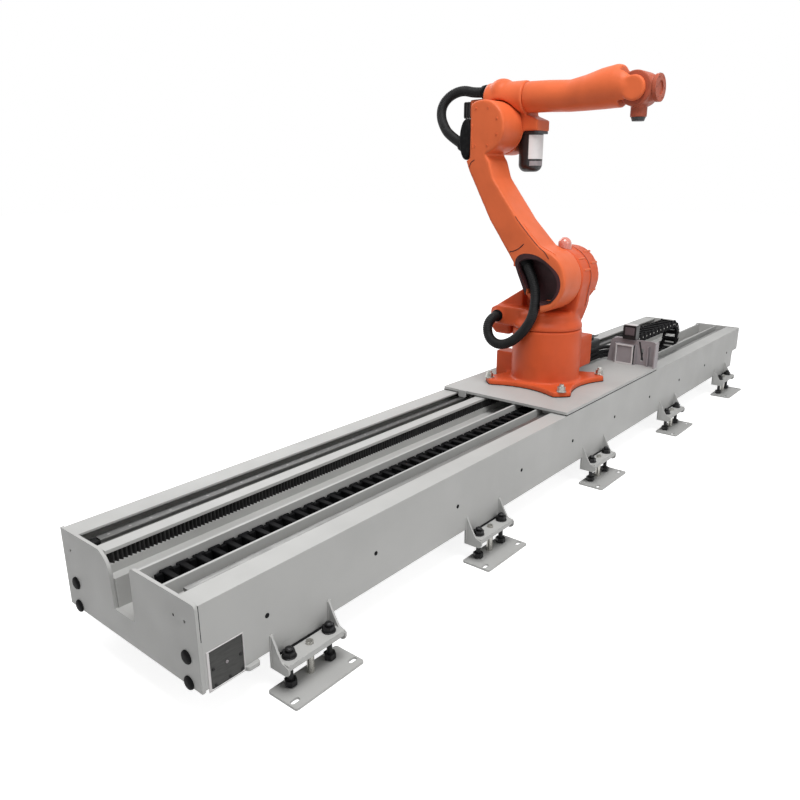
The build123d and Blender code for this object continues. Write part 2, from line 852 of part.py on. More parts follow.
# Terminal box with a framed lid, on the face of the stand
frame_width = 8
terminal_x = (carriage_high - 40, carriage_high - stand_thickness)
with BuildPart() as terminal_box:
    block(terminal_x, panel_y, (carriage_top, stand_panel_top - 6))
    block(
        (terminal_x[0] - 1, terminal_x[0] + 4),
        (panel_y[0] + frame_width, panel_y[1] - frame_width),
        (carriage_top + frame_width, stand_panel_top - 6 - frame_width),
        Mode.SUBTRACT,
    )
terminal_box.part.label = "terminal_box"
export_step(terminal_box.part, "parts/terminal_box.step")

# Junction box on top of the stand, its lid framed like the terminal box
junction_y = (-242, -158)
junction_bottom = upper_run_bottom + chain_height + 6
junction_top = 684
junction_x = (carriage_high - stand_thickness - 22, carriage_high + 20)
with BuildPart() as junction_box:
    block(junction_x, junction_y, (junction_bottom, junction_top))
    fillet(junction_box.edges().filter_by(Axis.X), radius=6)
    block(
        (junction_x[0] - 1, junction_x[0] + 4),
        (junction_y[0] + 10, junction_y[1] - 10),
        (junction_bottom + 24, junction_top - 10),
        Mode.SUBTRACT,
    )
junction_box.part.label = "junction_box"
export_step(junction_box.part, "parts/junction_box.step")

# Robot base: a round casting on a four-footed plate, with two connector housings
foot_corner = 200
box_far = 425
box_half = 130
box_z = (505, 686)
rear_box_x = (65, 165)
rear_box_y = 300
rear_box_top = 590
with BuildPart() as robot_base:
    with BuildSketch(Plane.XY.offset(carriage_top)) as star:
        with BuildLine():
            corners = [
                (robot_x + base_foot, foot_corner),
                (robot_x + foot_corner, base_foot),
                (robot_x - foot_corner, base_foot),
                (robot_x - base_foot, foot_corner),
                (robot_x - base_foot, -foot_corner),
                (robot_x - foot_corner, -base_foot),
                (robot_x + foot_corner, -base_foot),
                (robot_x + base_foot, -foot_corner),
            ]
            waist = base_radius + 24
            Line(corners[0], corners[1])
            ThreePointArc(corners[1], (robot_x, waist), corners[2])
            Line(corners[2], corners[3])
            ThreePointArc(corners[3], (robot_x - waist, 0), corners[4])
            Line(corners[4], corners[5])
            ThreePointArc(corners[5], (robot_x, -waist), corners[6])
            Line(corners[6], corners[7])
            ThreePointArc(corners[7], (robot_x + waist, 0), corners[0])
        make_face()
        fillet(star.vertices(), radius=26)
    extrude(amount=base_plate)
    with BuildSketch(Plane.XY.offset(carriage_top)):
        with Locations((robot_x, 0)):
            Circle(base_radius)
    extrude(amount=base_top - carriage_top)
    block((robot_x, box_far), (-box_half, box_half), box_z)
    block(rear_box_x, (0, rear_box_y), (carriage_top, rear_box_top))
    vertical = robot_base.edges().filter_by(Axis.Z)
    fillet(vertical.filter_by(lambda e: e.center().X > box_far - 1), radius=10)
    fillet(vertical.filter_by(lambda e: e.center().Y > rear_box_y - 1), radius=8)
robot_base.part.label = "robot_base"
export_step(robot_base.part, "parts/robot_base.step")

bolt_offset = 226
bolt_spots = [(robot_x + sx * bolt_offset, sy * bolt_offset) for sx in (-1, 1) for sy in (-1, 1)]
with BuildPart() as base_bolts:
    with BuildSketch(Plane.XY.offset(carriage_top + base_plate)):
        with Locations(*bolt_spots):
            RegularPolygon(27, 16)
    extrude(amount=6)
    with BuildSketch(Plane.XY.offset(carriage_top + base_plate + 6)):
        with Locations(*bolt_spots):
            RegularPolygon(18, 6, major_radius=False)
    extrude(amount=22)
    with BuildSketch(Plane.XY.offset(carriage_top + base_plate + 28)):
        with Locations(*bolt_spots):
            RegularPolygon(12, 12)
    extrude(amount=12)
base_bolts.part.label = "base_bolts"
export_step(base_bolts.part, "parts/base_bolts.step")

# Conduits from the base's connector housing along the plate and into the entry block, stacked
conduit_radius = 12
conduit_y = -22
conduit_spacing = 2 * conduit_radius + 3
conduit_exit_z = 530
conduit_low_z = carriage_top + 26
conduit_x = carriage_high + 23
with BuildPart() as conduits:
    for strand in range(3):
        exit_z = conduit_exit_z + strand * conduit_spacing
        low_z = conduit_low_z + strand * conduit_spacing
        with BuildLine() as route:
            FilletPolyline(
                (box_far, conduit_y, exit_z),
                (box_far + 60, conduit_y, exit_z),
                (box_far + 150, conduit_y, low_z),
                (conduit_x, conduit_y, low_z),
                (conduit_x, chain_y + chain_width / 2, low_z),
                radius=40,
            )
        with BuildSketch(Plane(origin=route.wire() @ 0, z_dir=route.wire() % 0)):
            Circle(conduit_radius)
        sweep()
conduits.part.label = "conduits"
export_step(conduits.part, "parts/conduits.step")

# Turret: ring and neck below, yoke and shoulder drum beside the lower arm, hose lobe behind
lobe_y = 330
lobe_half = 108
lobe_top = 866
lobe_hang = 700
neck_top = 862
yoke_low = arm_seam + seat_gap
lower_hose_x = robot_x - lobe_half - 20
lower_hose_y = 250
lower_hose_z = 810
with BuildPart() as lobe:
    with BuildSketch(Plane.XY.offset(turret_bottom)) as lobe_plan:
        with BuildLine():
            Polyline(
                (robot_x - lobe_half - 30, 60),
                (robot_x + lobe_half + 30, 60),
                (robot_x + lobe_half - 30, lobe_y),
                (robot_x - lobe_half, lobe_y),
                close=True,
            )
        make_face()
        fillet(lobe_plan.vertices().group_by(Axis.Y)[-1], radius=60)
    extrude(amount=lobe_top - turret_bottom)
    with BuildSketch(Plane.YZ.offset(robot_x - 200)) as lobe_side:
        with BuildLine():
            Polyline(
                (0, turret_bottom),
                (lobe_y - 20, turret_bottom),
                (lobe_y, turret_bottom + 30),
                (lobe_y - 3, turret_bottom + 62),
                (lobe_y - 22, lobe_top - 18),
                (lobe_y - 60, lobe_top),
                (0, lobe_top),
                close=True,
            )
        make_face()
        fillet(lobe_side.vertices().filter_by(lambda v: v.Y > lobe_y - 80), radius=14)
    extrude(amount=400, mode=Mode.INTERSECT)
    # the lobe hangs lower behind the base
    with BuildSketch(Plane.YZ.offset(robot_x - lobe_half + 24)) as hang:
        with BuildLine():
            Polyline(
                (lobe_y - 140, turret_bottom + 20),
                (lobe_y - 140, lobe_hang),
                (lobe_y - 40, lobe_hang),
                (lobe_y - 12, lobe_hang + 30),
                (lobe_y - 12, turret_bottom + 20),
                close=True,
            )
        make_face()
        fillet(hang.vertices().filter_by(lambda v: v.Y > lobe_y - 50 and v.Z < turret_bottom), radius=14)
    extrude(amount=2 * lobe_half - 60)
    with BuildSketch(Plane.XY.offset(lobe_hang - 1)):
        with Locations((robot_x, 0)):
            Circle(base_radius + 6)
    extrude(amount=turret_bottom - lobe_hang + 1, mode=Mode.SUBTRACT)

with BuildPart() as turret:
    with BuildSketch(Plane.XZ) as ring:
        with BuildLine():
            Polyline(
                (robot_x, turret_bottom),
                (robot_x + base_radius, turret_bottom),
                (robot_x + base_radius, turret_bottom + 20),
                (robot_x + base_radius - 20, turret_bottom + 52),
                (robot_x + base_radius - 22, neck_top - 20),
                (robot_x + base_radius - 42, neck_top),
                (robot_x, neck_top),
                close=True,
            )
        make_face()
    revolve(axis=Axis((robot_x, 0, 0), (0, 0, 1)))
    add(lobe.part)
    with BuildSketch(Plane.YZ.offset(yoke_low)) as yoke:
        with BuildLine():
            Polyline(
                (-150, turret_bottom + 40),
                (-178, neck_top + 20),
                (shoulder_y - shoulder_radius + 6, shoulder_z - 40),
                (shoulder_y, shoulder_z),
                (shoulder_y + shoulder_radius - 3, shoulder_z - 30),
                (shoulder_y + 180, shoulder_z - 70),
                (lobe_y - 95, lobe_top + 24),
                (lobe_y - 40, lobe_top - 12),
                (lobe_y - 40, turret_bottom + 40),
                close=True,
            )
        make_face()
    extrude(amount=drum_end - 60 - yoke_low)
    with BuildSketch(Plane.YZ.offset(yoke_low)):
        with Locations((shoulder_y, shoulder_z)):
            Circle(shoulder_radius)
    extrude(amount=drum_end - yoke_low)
    # hose socket in the lobe's side
    with BuildSketch(Plane.YZ.offset(lower_hose_x)):
        with Locations((lower_hose_y, lower_hose_z)):
            Circle(hose_radius + 12)
    extrude(amount=80)
turret.part.label = "turret"
export_step(turret.part, "parts/turret.step")

with BuildPart() as shoulder_cover:
    with BuildSketch(Plane.YZ.offset(drum_end)) as rim:
        with Locations((shoulder_y, shoulder_z)):
            Circle(shoulder_radius - 8)
    extrude(amount=drum_cover, taper=25)
shoulder_cover.part.label = "shoulder_cover"
export_step(shoulder_cover.part, "parts/shoulder_cover.step")

# Signal lamp: a dome on top of the shoulder drum
lamp_x = arm_seam + 38
lamp_y = -66
lamp_radius = 36
with BuildPart() as signal_lamp:
    lamp_base = shoulder_z + sqrt(shoulder_radius**2 - (abs(lamp_y - shoulder_y) + lamp_radius) ** 2)
    with BuildSketch(Plane.XZ.offset(-lamp_y)):
        with BuildLine():
            lamp_rim = (lamp_x + lamp_radius, lamp_base + 28)
            Polyline((lamp_x, lamp_base), (lamp_x + lamp_radius, lamp_base), lamp_rim)
            RadiusArc(lamp_rim, (lamp_x, lamp_base + 28 + lamp_radius), -lamp_radius)
            Line((lamp_x, lamp_base + 28 + lamp_radius), (lamp_x, lamp_base))
        make_face()
    revolve(axis=Axis((lamp_x, lamp_y, 0), (0, 0, 1)))
    with BuildSketch(Plane.YZ.offset(yoke_low - 5)):
        with Locations((shoulder_y, shoulder_z)):
            Circle(shoulder_radius)
    extrude(amount=120, mode=Mode.SUBTRACT)
signal_lamp.part.label = "signal_lamp"
export_step(signal_lamp.part, "parts/signal_lamp.step")

# Lower arm: tapered box casting between the shoulder boss and the elbow boss
pocket_depth = 78
head_back = elbow_y + 73  # flat back of the arm's head, the outlet hood's seat
gland_direction = Vector(0.485, 0.8745).normalized()
gland_across = Vector(0.8745, -0.485).normalized()
gland_seat = Vector(62, 1136)
with BuildPart() as lower_arm:
    with BuildSketch(Plane.YZ.offset(arm_low)) as arm_side:
        with BuildLine():
            Polyline(
                (elbow_y + 99, elbow_z - 163),
                (412, 1588),
                (270, 1336),
                (96, 1099),
                (shoulder_y + 100, 985),
                (shoulder_y - 60, 905),
                (shoulder_y - 125, 1000),
                (-75, 1196),
                (-38, 1212),
                (85, 1334),
                (256, 1551),
                (286, 1640),
                (elbow_y, elbow_z - 105),
                (head_back, elbow_z - 105),
                (head_back, elbow_z - 157),
                close=True,
            )
        make_face()
        with Locations((elbow_y, elbow_z)):
            Circle(elbow_radius)
        with Locations((head_back + 100, elbow_z)):
            Rectangle(200, 310, mode=Mode.SUBTRACT)
        with Locations((shoulder_y, shoulder_z)):
            Circle(shoulder_radius)
    extrude(amount=arm_width)
    # the outer part of the boss is cut away behind, where the hose comes up
    face = profile(Plane.YZ.offset(arm_low - 1), [(96, 1099), (40, 985), (-10, 860), (200, 860), (200, 1099)])
    extrude(face, amount=arm_width - 70, mode=Mode.SUBTRACT)
    with BuildSketch(Plane.YZ.offset(arm_low)) as pocket:
        with BuildLine():
            Polyline(
                gland_seat + gland_across * 36,
                gland_seat - gland_across * 36,
                (-60, 1144),
                (-150, 1075),
                (-165, 1000),
                (-120, 925),
                (-60, 925),
                (-60, 850),
                (30, 850),
                (22, 990),
                close=True,
            )
        make_face()
        fillet(pocket.vertices().filter_by(lambda v: v.Z > 910 and v.Y < 0), radius=24)
    extrude(amount=pocket_depth, mode=Mode.SUBTRACT)
lower_arm.part.label = "lower_arm"
export_step(lower_arm.part, "parts/lower_arm.step")

# Outlet hood: an oval rubber boot on the flat back of the arm's head, with a socket for the upper hose
hood_x = (arm_low + 6, arm_low + 110)
hood_middle = (hood_x[0] + hood_x[1]) / 2
hood_y = head_back + 36
hood_z = elbow_z - 58
hood_half = (42, 104)
hood_direction = Vector(0.876, 0.482).normalized()
hood_seat = Vector(hood_y + 57, hood_z - 19)
with BuildPart() as outlet_hood:
    with BuildSketch(Plane.YZ.offset(hood_x[0])):
        with Locations((hood_y, hood_z)):
            Ellipse(*hood_half)
    extrude(amount=hood_x[1] - hood_x[0])
    fillet(outlet_hood.edges().filter_by(lambda e: abs(e.center().X - hood_x[0]) < 1), radius=16)
    socket = Plane(
        origin=(hood_middle, hood_seat.X, hood_seat.Y),
        z_dir=(0, hood_direction.X, hood_direction.Y),
    )
    with BuildSketch(socket):
        Circle(hose_radius + 8)
    extrude(amount=-50)
    # flat against the arm's head
    block((arm_low - 1, arm_seam), (head_back - 80, head_back), (elbow_z - 200, elbow_z + 80), Mode.SUBTRACT)
    face = profile(
        Plane.YZ.offset(arm_low - 1),
        [
            (elbow_y + 99, elbow_z - 163),
            (412, 1588),
            (elbow_y, 1588),
            (elbow_y, elbow_z - 157),
            (head_back, elbow_z - 157),
        ],
    )
    extrude(face, amount=arm_width, mode=Mode.SUBTRACT)
outlet_hood.part.label = "outlet_hood"
export_step(outlet_hood.part, "parts/outlet_hood.step")

# Elbow housing: beside the lower arm at its drum, over the arm's boss at the forearm root
elbow_low = arm_seam + seat_gap
chin_z = 1790
hanging_x = 175
hanging_y = 192
upper_hose_x = 100
upper_hose_y = 450
upper_hose_rise = 190
upper_hose_z = elbow_z + upper_hose_rise
motor_seat_y = 545
motor_seat_z = (elbow_z + 63, elbow_z + 157)
chin_y = (115, 262)
housing_front = -forearm_root
dome_z = forearm_z + 20
with BuildPart() as elbow_housing:
    with BuildSketch(Plane.YZ.offset(elbow_low)) as side:
        with BuildLine():
            Polyline(
                (motor_seat_y, motor_seat_z[0]),
                (motor_seat_y, motor_seat_z[1]),
                (410, motor_seat_z[1] + 4),
                (300, forearm_z + 65),
                (housing_front, forearm_z + 71),
                (housing_front, forearm_z - 85),
                (chin_y[0], chin_z + 52),
                (chin_y[0], chin_z),
                (chin_y[1], chin_z),
                (elbow_y, elbow_z - 105),
                (elbow_y + 105, elbow_z + 35),
                close=True,
            )
        make_face()
        with Locations((elbow_y, elbow_z)):
            Circle(elbow_radius)
    extrude(amount=elbow_width)
    with BuildSketch(Plane.XZ.offset(forearm_root - 235)):
        with Locations((robot_x, forearm_z)):
            Circle(forearm_radius + 6)
    extrude(amount=235 - seat_gap)
    with BuildSketch(Plane.YZ.offset(robot_x)):
        with BuildLine():
            CenterArc((elbow_y + 10, dome_z), 83, 0, 180)
            Line((elbow_y + 93, dome_z), (elbow_y - 73, dome_z))
        make_face()
    revolve(axis=Axis((robot_x, elbow_y + 10, dome_z), (0, 1, 0)))
    # room for the arm's boss
    with BuildSketch(Plane.YZ.offset(arm_low - 20)):
        with Locations((elbow_y, elbow_z)):
            Circle(elbow_radius + 6)
    extrude(amount=arm_width + 20 + seat_gap, mode=Mode.SUBTRACT)
    block((arm_low - 20, arm_seam + seat_gap), (elbow_y - 150, 700), (1600, elbow_z + 40), Mode.SUBTRACT)
    # the hanging motor nests against the drum
    block((hanging_x - 68, 300), (100, hanging_y + 70), (1600, chin_z), Mode.SUBTRACT)
    # gland of the upper hose on the housing's flat back
    with BuildSketch(Plane.XZ.offset(-upper_hose_y)):
        with Locations((upper_hose_x, upper_hose_z)):
            Circle(hose_radius + 8)
    extrude(amount=40)
elbow_housing.part.label = "elbow_housing"
export_step(elbow_housing.part, "parts/elbow_housing.step")

# Ribbed motor behind the elbow
elbow_motor_z = elbow_z + 107
with BuildPart() as elbow_motor:
    with BuildSketch(Plane.XZ.offset(-motor_seat_y)):
        with Locations((elbow_low + 66, elbow_motor_z)):
            RectangleRounded(92, 88, 12)
    extrude(amount=-56)
    for rib in range(3):
        with BuildSketch(Plane.XZ.offset(-(motor_seat_y + 8 + 16 * rib))):
            with Locations((elbow_low + 66, elbow_motor_z)):
                RectangleRounded(92, 88, 12)
                RectangleRounded(80, 76, 10, mode=Mode.SUBTRACT)
        extrude(amount=-7, mode=Mode.SUBTRACT)
elbow_motor.part.label = "elbow_motor"
export_step(elbow_motor.part, "parts/elbow_motor.step")

# Motor hanging under the elbow's chin
with BuildPart() as hanging_motor:
    with BuildSketch(Plane.XY.offset(chin_z)):
        with Locations((hanging_x, hanging_y)):
            RectangleRounded(130, 140, 18)
    extrude(amount=-14)
    with BuildSketch(Plane.XY.offset(chin_z - 14)):
        with Locations((hanging_x, hanging_y)):
            RectangleRounded(118, 124, 54)
    extrude(amount=-194)
    fillet(hanging_motor.edges().filter_by(lambda e: e.center().Z < chin_z - 200), radius=40)
hanging_motor.part.label = "hanging_motor"
export_step(hanging_motor.part, "parts/hanging_motor.step")

# Forearm: round tube that swells towards a fork for the wrist
fork_x = (27, 53.5)
fork_radius = 58
slot_start = wrist_reach - wrist_radius - 4
with BuildPart() as forearm:
    stations = [
        (forearm_root, forearm_radius, forearm_radius, 0),
        (-60, 77, 77, -2),
        (60, 76, 76, -8),
        (150, 82, 84, 1),
        (230, 91, 94, 13),
        (310, 97, 99, 21),
        (360, 96, 93, 15),
        (400, 88, 78, 6),
    ]
    for reach, half_wide, half_high, lift in stations:
        with BuildSketch(Plane.XZ.offset(reach)):
            with Locations((robot_x, forearm_z + lift)):
                Ellipse(half_wide, half_high)
    loft(ruled=True)
    for cheek in (fork_x, (2 * robot_x - fork_x[1], 2 * robot_x - fork_x[0])):
        with BuildSketch(Plane.YZ.offset(cheek[0])):
            with Locations((-wrist_reach, forearm_z)):
                Circle(fork_radius)
        extrude(amount=cheek[1] - cheek[0])
    slot_x = (fork_x[1], 2 * robot_x - fork_x[1])
    block(slot_x, (-wrist_reach - 200, -slot_start), (forearm_z - 200, forearm_z + 200), Mode.SUBTRACT)
forearm.part.label = "forearm"
export_step(forearm.part, "parts/forearm.step")

# Wrist: tilting housing between the fork's cheeks, with its drive hanging below
wrist_low = robot_x - wrist_width / 2
nose_end = flange_face - flange_thickness - seat_gap
stub_reach = 425
with BuildPart() as wrist:
    with BuildSketch(Plane.YZ.offset(wrist_low)):
        with Locations((-wrist_reach, forearm_z)):
            Circle(wrist_radius)
    extrude(amount=wrist_width)
    with BuildSketch(Plane.XZ.offset(wrist_reach)):
        with Locations((robot_x, forearm_z)):
            RectangleRounded(wrist_width, 140, 24)
    with BuildSketch(Plane.XZ.offset(nose_end)):
        with Locations((robot_x, forearm_z)):
            RectangleRounded(112, 112, 50)
    loft()
    with BuildSketch(Plane.XY.offset(forearm_z - 40)):
        with Locations((robot_x, -stub_reach)):
            Circle(39)
    extrude(amount=-85)
wrist.part.label = "wrist"
export_step(wrist.part, "parts/wrist.step")

with BuildPart() as wrist_drive_cap:
    with BuildSketch(Plane.XY.offset(forearm_z - 125)):
        with Locations((robot_x, -stub_reach)):
            Circle(35)
    extrude(amount=-18, taper=20)
wrist_drive_cap.part.label = "wrist_drive_cap"
export_step(wrist_drive_cap.part, "parts/wrist_drive_cap.step")

# Tool flange: six tapped holes round a centring recess
with BuildPart() as tool_flange:
    with BuildSketch(Plane.XZ.offset(nose_end + seat_gap)):
        with Locations((robot_x, forearm_z)):
            Circle(flange_radius)
    extrude(amount=flange_thickness)
    with BuildSketch(Plane.XZ.offset(flange_face)):
        with Locations((robot_x, forearm_z)):
            Circle(flange_pilot)
    extrude(amount=-flange_pilot_depth, mode=Mode.SUBTRACT)
    with BuildSketch(Plane.XZ.offset(flange_face)):
        with Locations((robot_x, forearm_z)):
            with PolarLocations(flange_pcd / 2, 6):
                Circle(flange_hole)
    extrude(amount=-12, mode=Mode.SUBTRACT)
tool_flange.part.label = "tool_flange"
export_step(tool_flange.part, "parts/tool_flange.step")


# Hoses: plain tubes along their routes, straight runs joined by tangent arcs
def hose_tube(points):
    points = [Vector(*point) for point in points]
    runs = [b - a for a, b in zip(points, points[1:])]
    radii = []
    for before, after in zip(runs, runs[1:]):
        turn = radians(before.get_angle(after))
        radii.append(0.45 * min(before.length, after.length) / tan(turn / 2))
    with BuildPart() as tube:
        with BuildLine() as route:
            FilletPolyline(*points, radius=radii)
        with BuildSketch(Plane(origin=route.wire() @ 0, z_dir=route.wire() % 0)):
            Circle(hose_radius)
        sweep()
    length = route.wire().length
    share = tube.part.volume / (pi * hose_radius**2 * length)
    print("hose radii", [round(r) for r in radii], "length", round(length), "share", round(share, 4))
    return tube


gland_length = 26
gland_x = arm_low + pocket_depth / 2
gland_face = gland_seat - gland_direction * gland_length
with BuildPart() as lower_hose_gland:
    seat = Plane(
        origin=(gland_x, gland_face.X, gland_face.Y),
        z_dir=(0, gland_direction.X, gland_direction.Y),
    )
    with BuildSketch(seat):
        Circle(hose_radius + 6)
    extrude(amount=gland_length)
lower_hose_gland.part.label = "lower_hose_gland"
export_step(lower_hose_gland.part, "parts/lower_hose_gland.step")

lower_hose = hose_tube(
    [
        (lower_hose_x, lower_hose_y, lower_hose_z),
        (-62, lower_hose_y, lower_hose_z),
        (-98, 262, 766),
        (-114, 238, 700),
        (-116, 176, 668),
        (-113, 100, 690),
        (-108, 30, 752),
        (-98, -20, 834),
        (-76, -26, 920),
        (gland_x, gland_face.X - 110 * gland_direction.X, gland_face.Y - 110 * gland_direction.Y),
        (gland_x, gland_face.X, gland_face.Y),
    ]
)
lower_hose.part.label = "lower_hose"
export_step(lower_hose.part, "parts/lower_hose.step")

upper_hose = hose_tube(
    [
        (upper_hose_x, upper_hose_y, upper_hose_z),
        (upper_hose_x, upper_hose_y + 65, upper_hose_z),
        (92, 590, upper_hose_z + 19),
        (74, 660, upper_hose_z - 3),
        (50, 700, upper_hose_z - 53),
        (22, 690, elbow_z + 75),
        (-14, 640, elbow_z + 17),
        (hood_middle, hood_seat.X + 95 * hood_direction.X, hood_seat.Y + 95 * hood_direction.Y),
        (hood_middle, hood_seat.X, hood_seat.Y),
    ]
)
upper_hose.part.label = "upper_hose"
export_step(upper_hose.part, "parts/upper_hose.step")
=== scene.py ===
import json
import math
import bmesh
import bpy
from mathutils import Matrix, Vector
from mathutils.bvhtree import BVHTree


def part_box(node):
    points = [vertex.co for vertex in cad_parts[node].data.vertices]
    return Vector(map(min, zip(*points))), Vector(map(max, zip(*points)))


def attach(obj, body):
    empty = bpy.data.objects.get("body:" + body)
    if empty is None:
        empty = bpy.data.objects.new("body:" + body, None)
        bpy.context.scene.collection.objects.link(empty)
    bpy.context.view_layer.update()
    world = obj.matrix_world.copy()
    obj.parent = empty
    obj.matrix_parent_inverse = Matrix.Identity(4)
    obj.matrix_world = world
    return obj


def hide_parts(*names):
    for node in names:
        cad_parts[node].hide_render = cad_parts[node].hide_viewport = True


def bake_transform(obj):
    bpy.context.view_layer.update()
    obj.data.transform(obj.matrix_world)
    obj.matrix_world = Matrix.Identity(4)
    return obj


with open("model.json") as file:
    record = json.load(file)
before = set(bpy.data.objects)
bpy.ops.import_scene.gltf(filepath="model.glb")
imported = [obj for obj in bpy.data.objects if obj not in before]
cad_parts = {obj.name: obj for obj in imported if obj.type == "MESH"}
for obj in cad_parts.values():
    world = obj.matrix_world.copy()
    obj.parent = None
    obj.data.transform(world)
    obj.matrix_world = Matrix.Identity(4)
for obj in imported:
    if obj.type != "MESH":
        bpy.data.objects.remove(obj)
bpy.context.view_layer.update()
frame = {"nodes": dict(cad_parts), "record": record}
nodes = frame["nodes"]
scene = bpy.context.scene


# Camera: where the photograph was taken from, for a square 800 px frame
camera = {
    "place": (-3.48097, -1.95736, 1.56286),
    "right": (0.631807, -0.775126, -0.000285),
    "up": (0.231177, 0.188081, 0.954559),
    "forward": (0.739850, 0.603163, -0.298022),
    "lens": 32.893,
    "shift": (-0.01522, 0.00479),
}


def addCamera():
    data = bpy.data.cameras.new("camera")
    data.sensor_width = 36
    data.lens = camera["lens"]
    data.shift_x, data.shift_y = camera["shift"]
    data.clip_end = 100
    view = bpy.data.objects.new("camera", data)
    scene.collection.objects.link(view)
    right, up, forward = (Vector(camera[key]) for key in ("right", "up", "forward"))
    turned = Matrix((right, up, -forward)).transposed().to_4x4()
    view.matrix_world = Matrix.Translation(camera["place"]) @ turned
    scene.camera = view


addCamera()
print("stage: camera placed")


# Node helpers for the materials
def newMaterial(name):
    material = bpy.data.materials.new(name)
    material.use_nodes = True
    tree = material.node_tree
    shader = tree.nodes["Principled BSDF"]
    return material, tree, shader


def noiseNode(tree, scale, detail=3, stretch=(1, 1, 1)):
    coordinates = tree.nodes.new("ShaderNodeTexCoord")
    mapping = tree.nodes.new("ShaderNodeMapping")
    mapping.inputs["Scale"].default_value = stretch
    noise = tree.nodes.new("ShaderNodeTexNoise")
    noise.inputs["Scale"].default_value = scale
    noise.inputs["Detail"].default_value = detail
    tree.links.new(coordinates.outputs["Object"], mapping.inputs["Vector"])
    tree.links.new(mapping.outputs["Vector"], noise.inputs["Vector"])
    return noise.outputs["Fac"]


def ramp(tree, source, stops):
    node = tree.nodes.new("ShaderNodeValToRGB")
    elements = node.color_ramp.elements
    elements[0].position, elements[0].color = stops[0][0], (*stops[0][1], 1)
    elements[1].position, elements[1].color = stops[-1][0], (*stops[-1][1], 1)
    for position, colour in stops[1:-1]:
        element = elements.new(position)
        element.color = (*colour, 1)
    tree.links.new(source, node.inputs["Fac"])
    return node.outputs["Color"]


def scaled(colour, factor):
    return tuple(channel * factor for channel in colour)


def addBump(tree, shader, height, strength, distance, edge):
    normal = None
    if edge:
        rounded = tree.nodes.new("ShaderNodeBevel")
        rounded.samples = 4
        rounded.inputs["Radius"].default_value = edge
        normal = rounded.outputs["Normal"]
    bump = tree.nodes.new("ShaderNodeBump")
    bump.inputs["Strength"].default_value = strength
    bump.inputs["Distance"].default_value = distance
    tree.links.new(height, bump.inputs["Height"])
    if normal:
        tree.links.new(normal, bump.inputs["Normal"])
    tree.links.new(bump.outputs["Normal"], shader.inputs["Normal"])


def surfaceMaterial(name, look):
    material, tree, shader = newMaterial(name)
    colour = look["colour"]
    patches = noiseNode(tree, look["patchScale"], 4, look.get("stretch", (1, 1, 1)))
    stops = [(0.3, scaled(colour, look["dark"])), (0.5, colour), (0.72, scaled(colour, look["light"]))]
    tree.links.new(ramp(tree, patches, stops), shader.inputs["Base Color"])
    wear = noiseNode(tree, look["patchScale"] * 3.1, 5)
    rough = look["rough"]
    low, high = (rough[0],) * 3, (rough[1],) * 3
    tree.links.new(ramp(tree, wear, [(0.3, low), (0.7, high)]), shader.inputs["Roughness"])
    shader.inputs["Metallic"].default_value = look.get("metal", 0)
    shader.inputs["Specular IOR Level"].default_value = look.get("specular", 0.5)
    shader.inputs["Coat Weight"].default_value = look.get("coat", 0)
    shader.inputs["Coat Roughness"].default_value = look.get("coatRough", 0.2)
    grain = noiseNode(tree, look["grainScale"], 2, look.get("stretch", (1, 1, 1)))
    addBump(tree, shader, grain, look["grain"], look.get("depth", 0.0006), look.get("edge", 0))
    return material


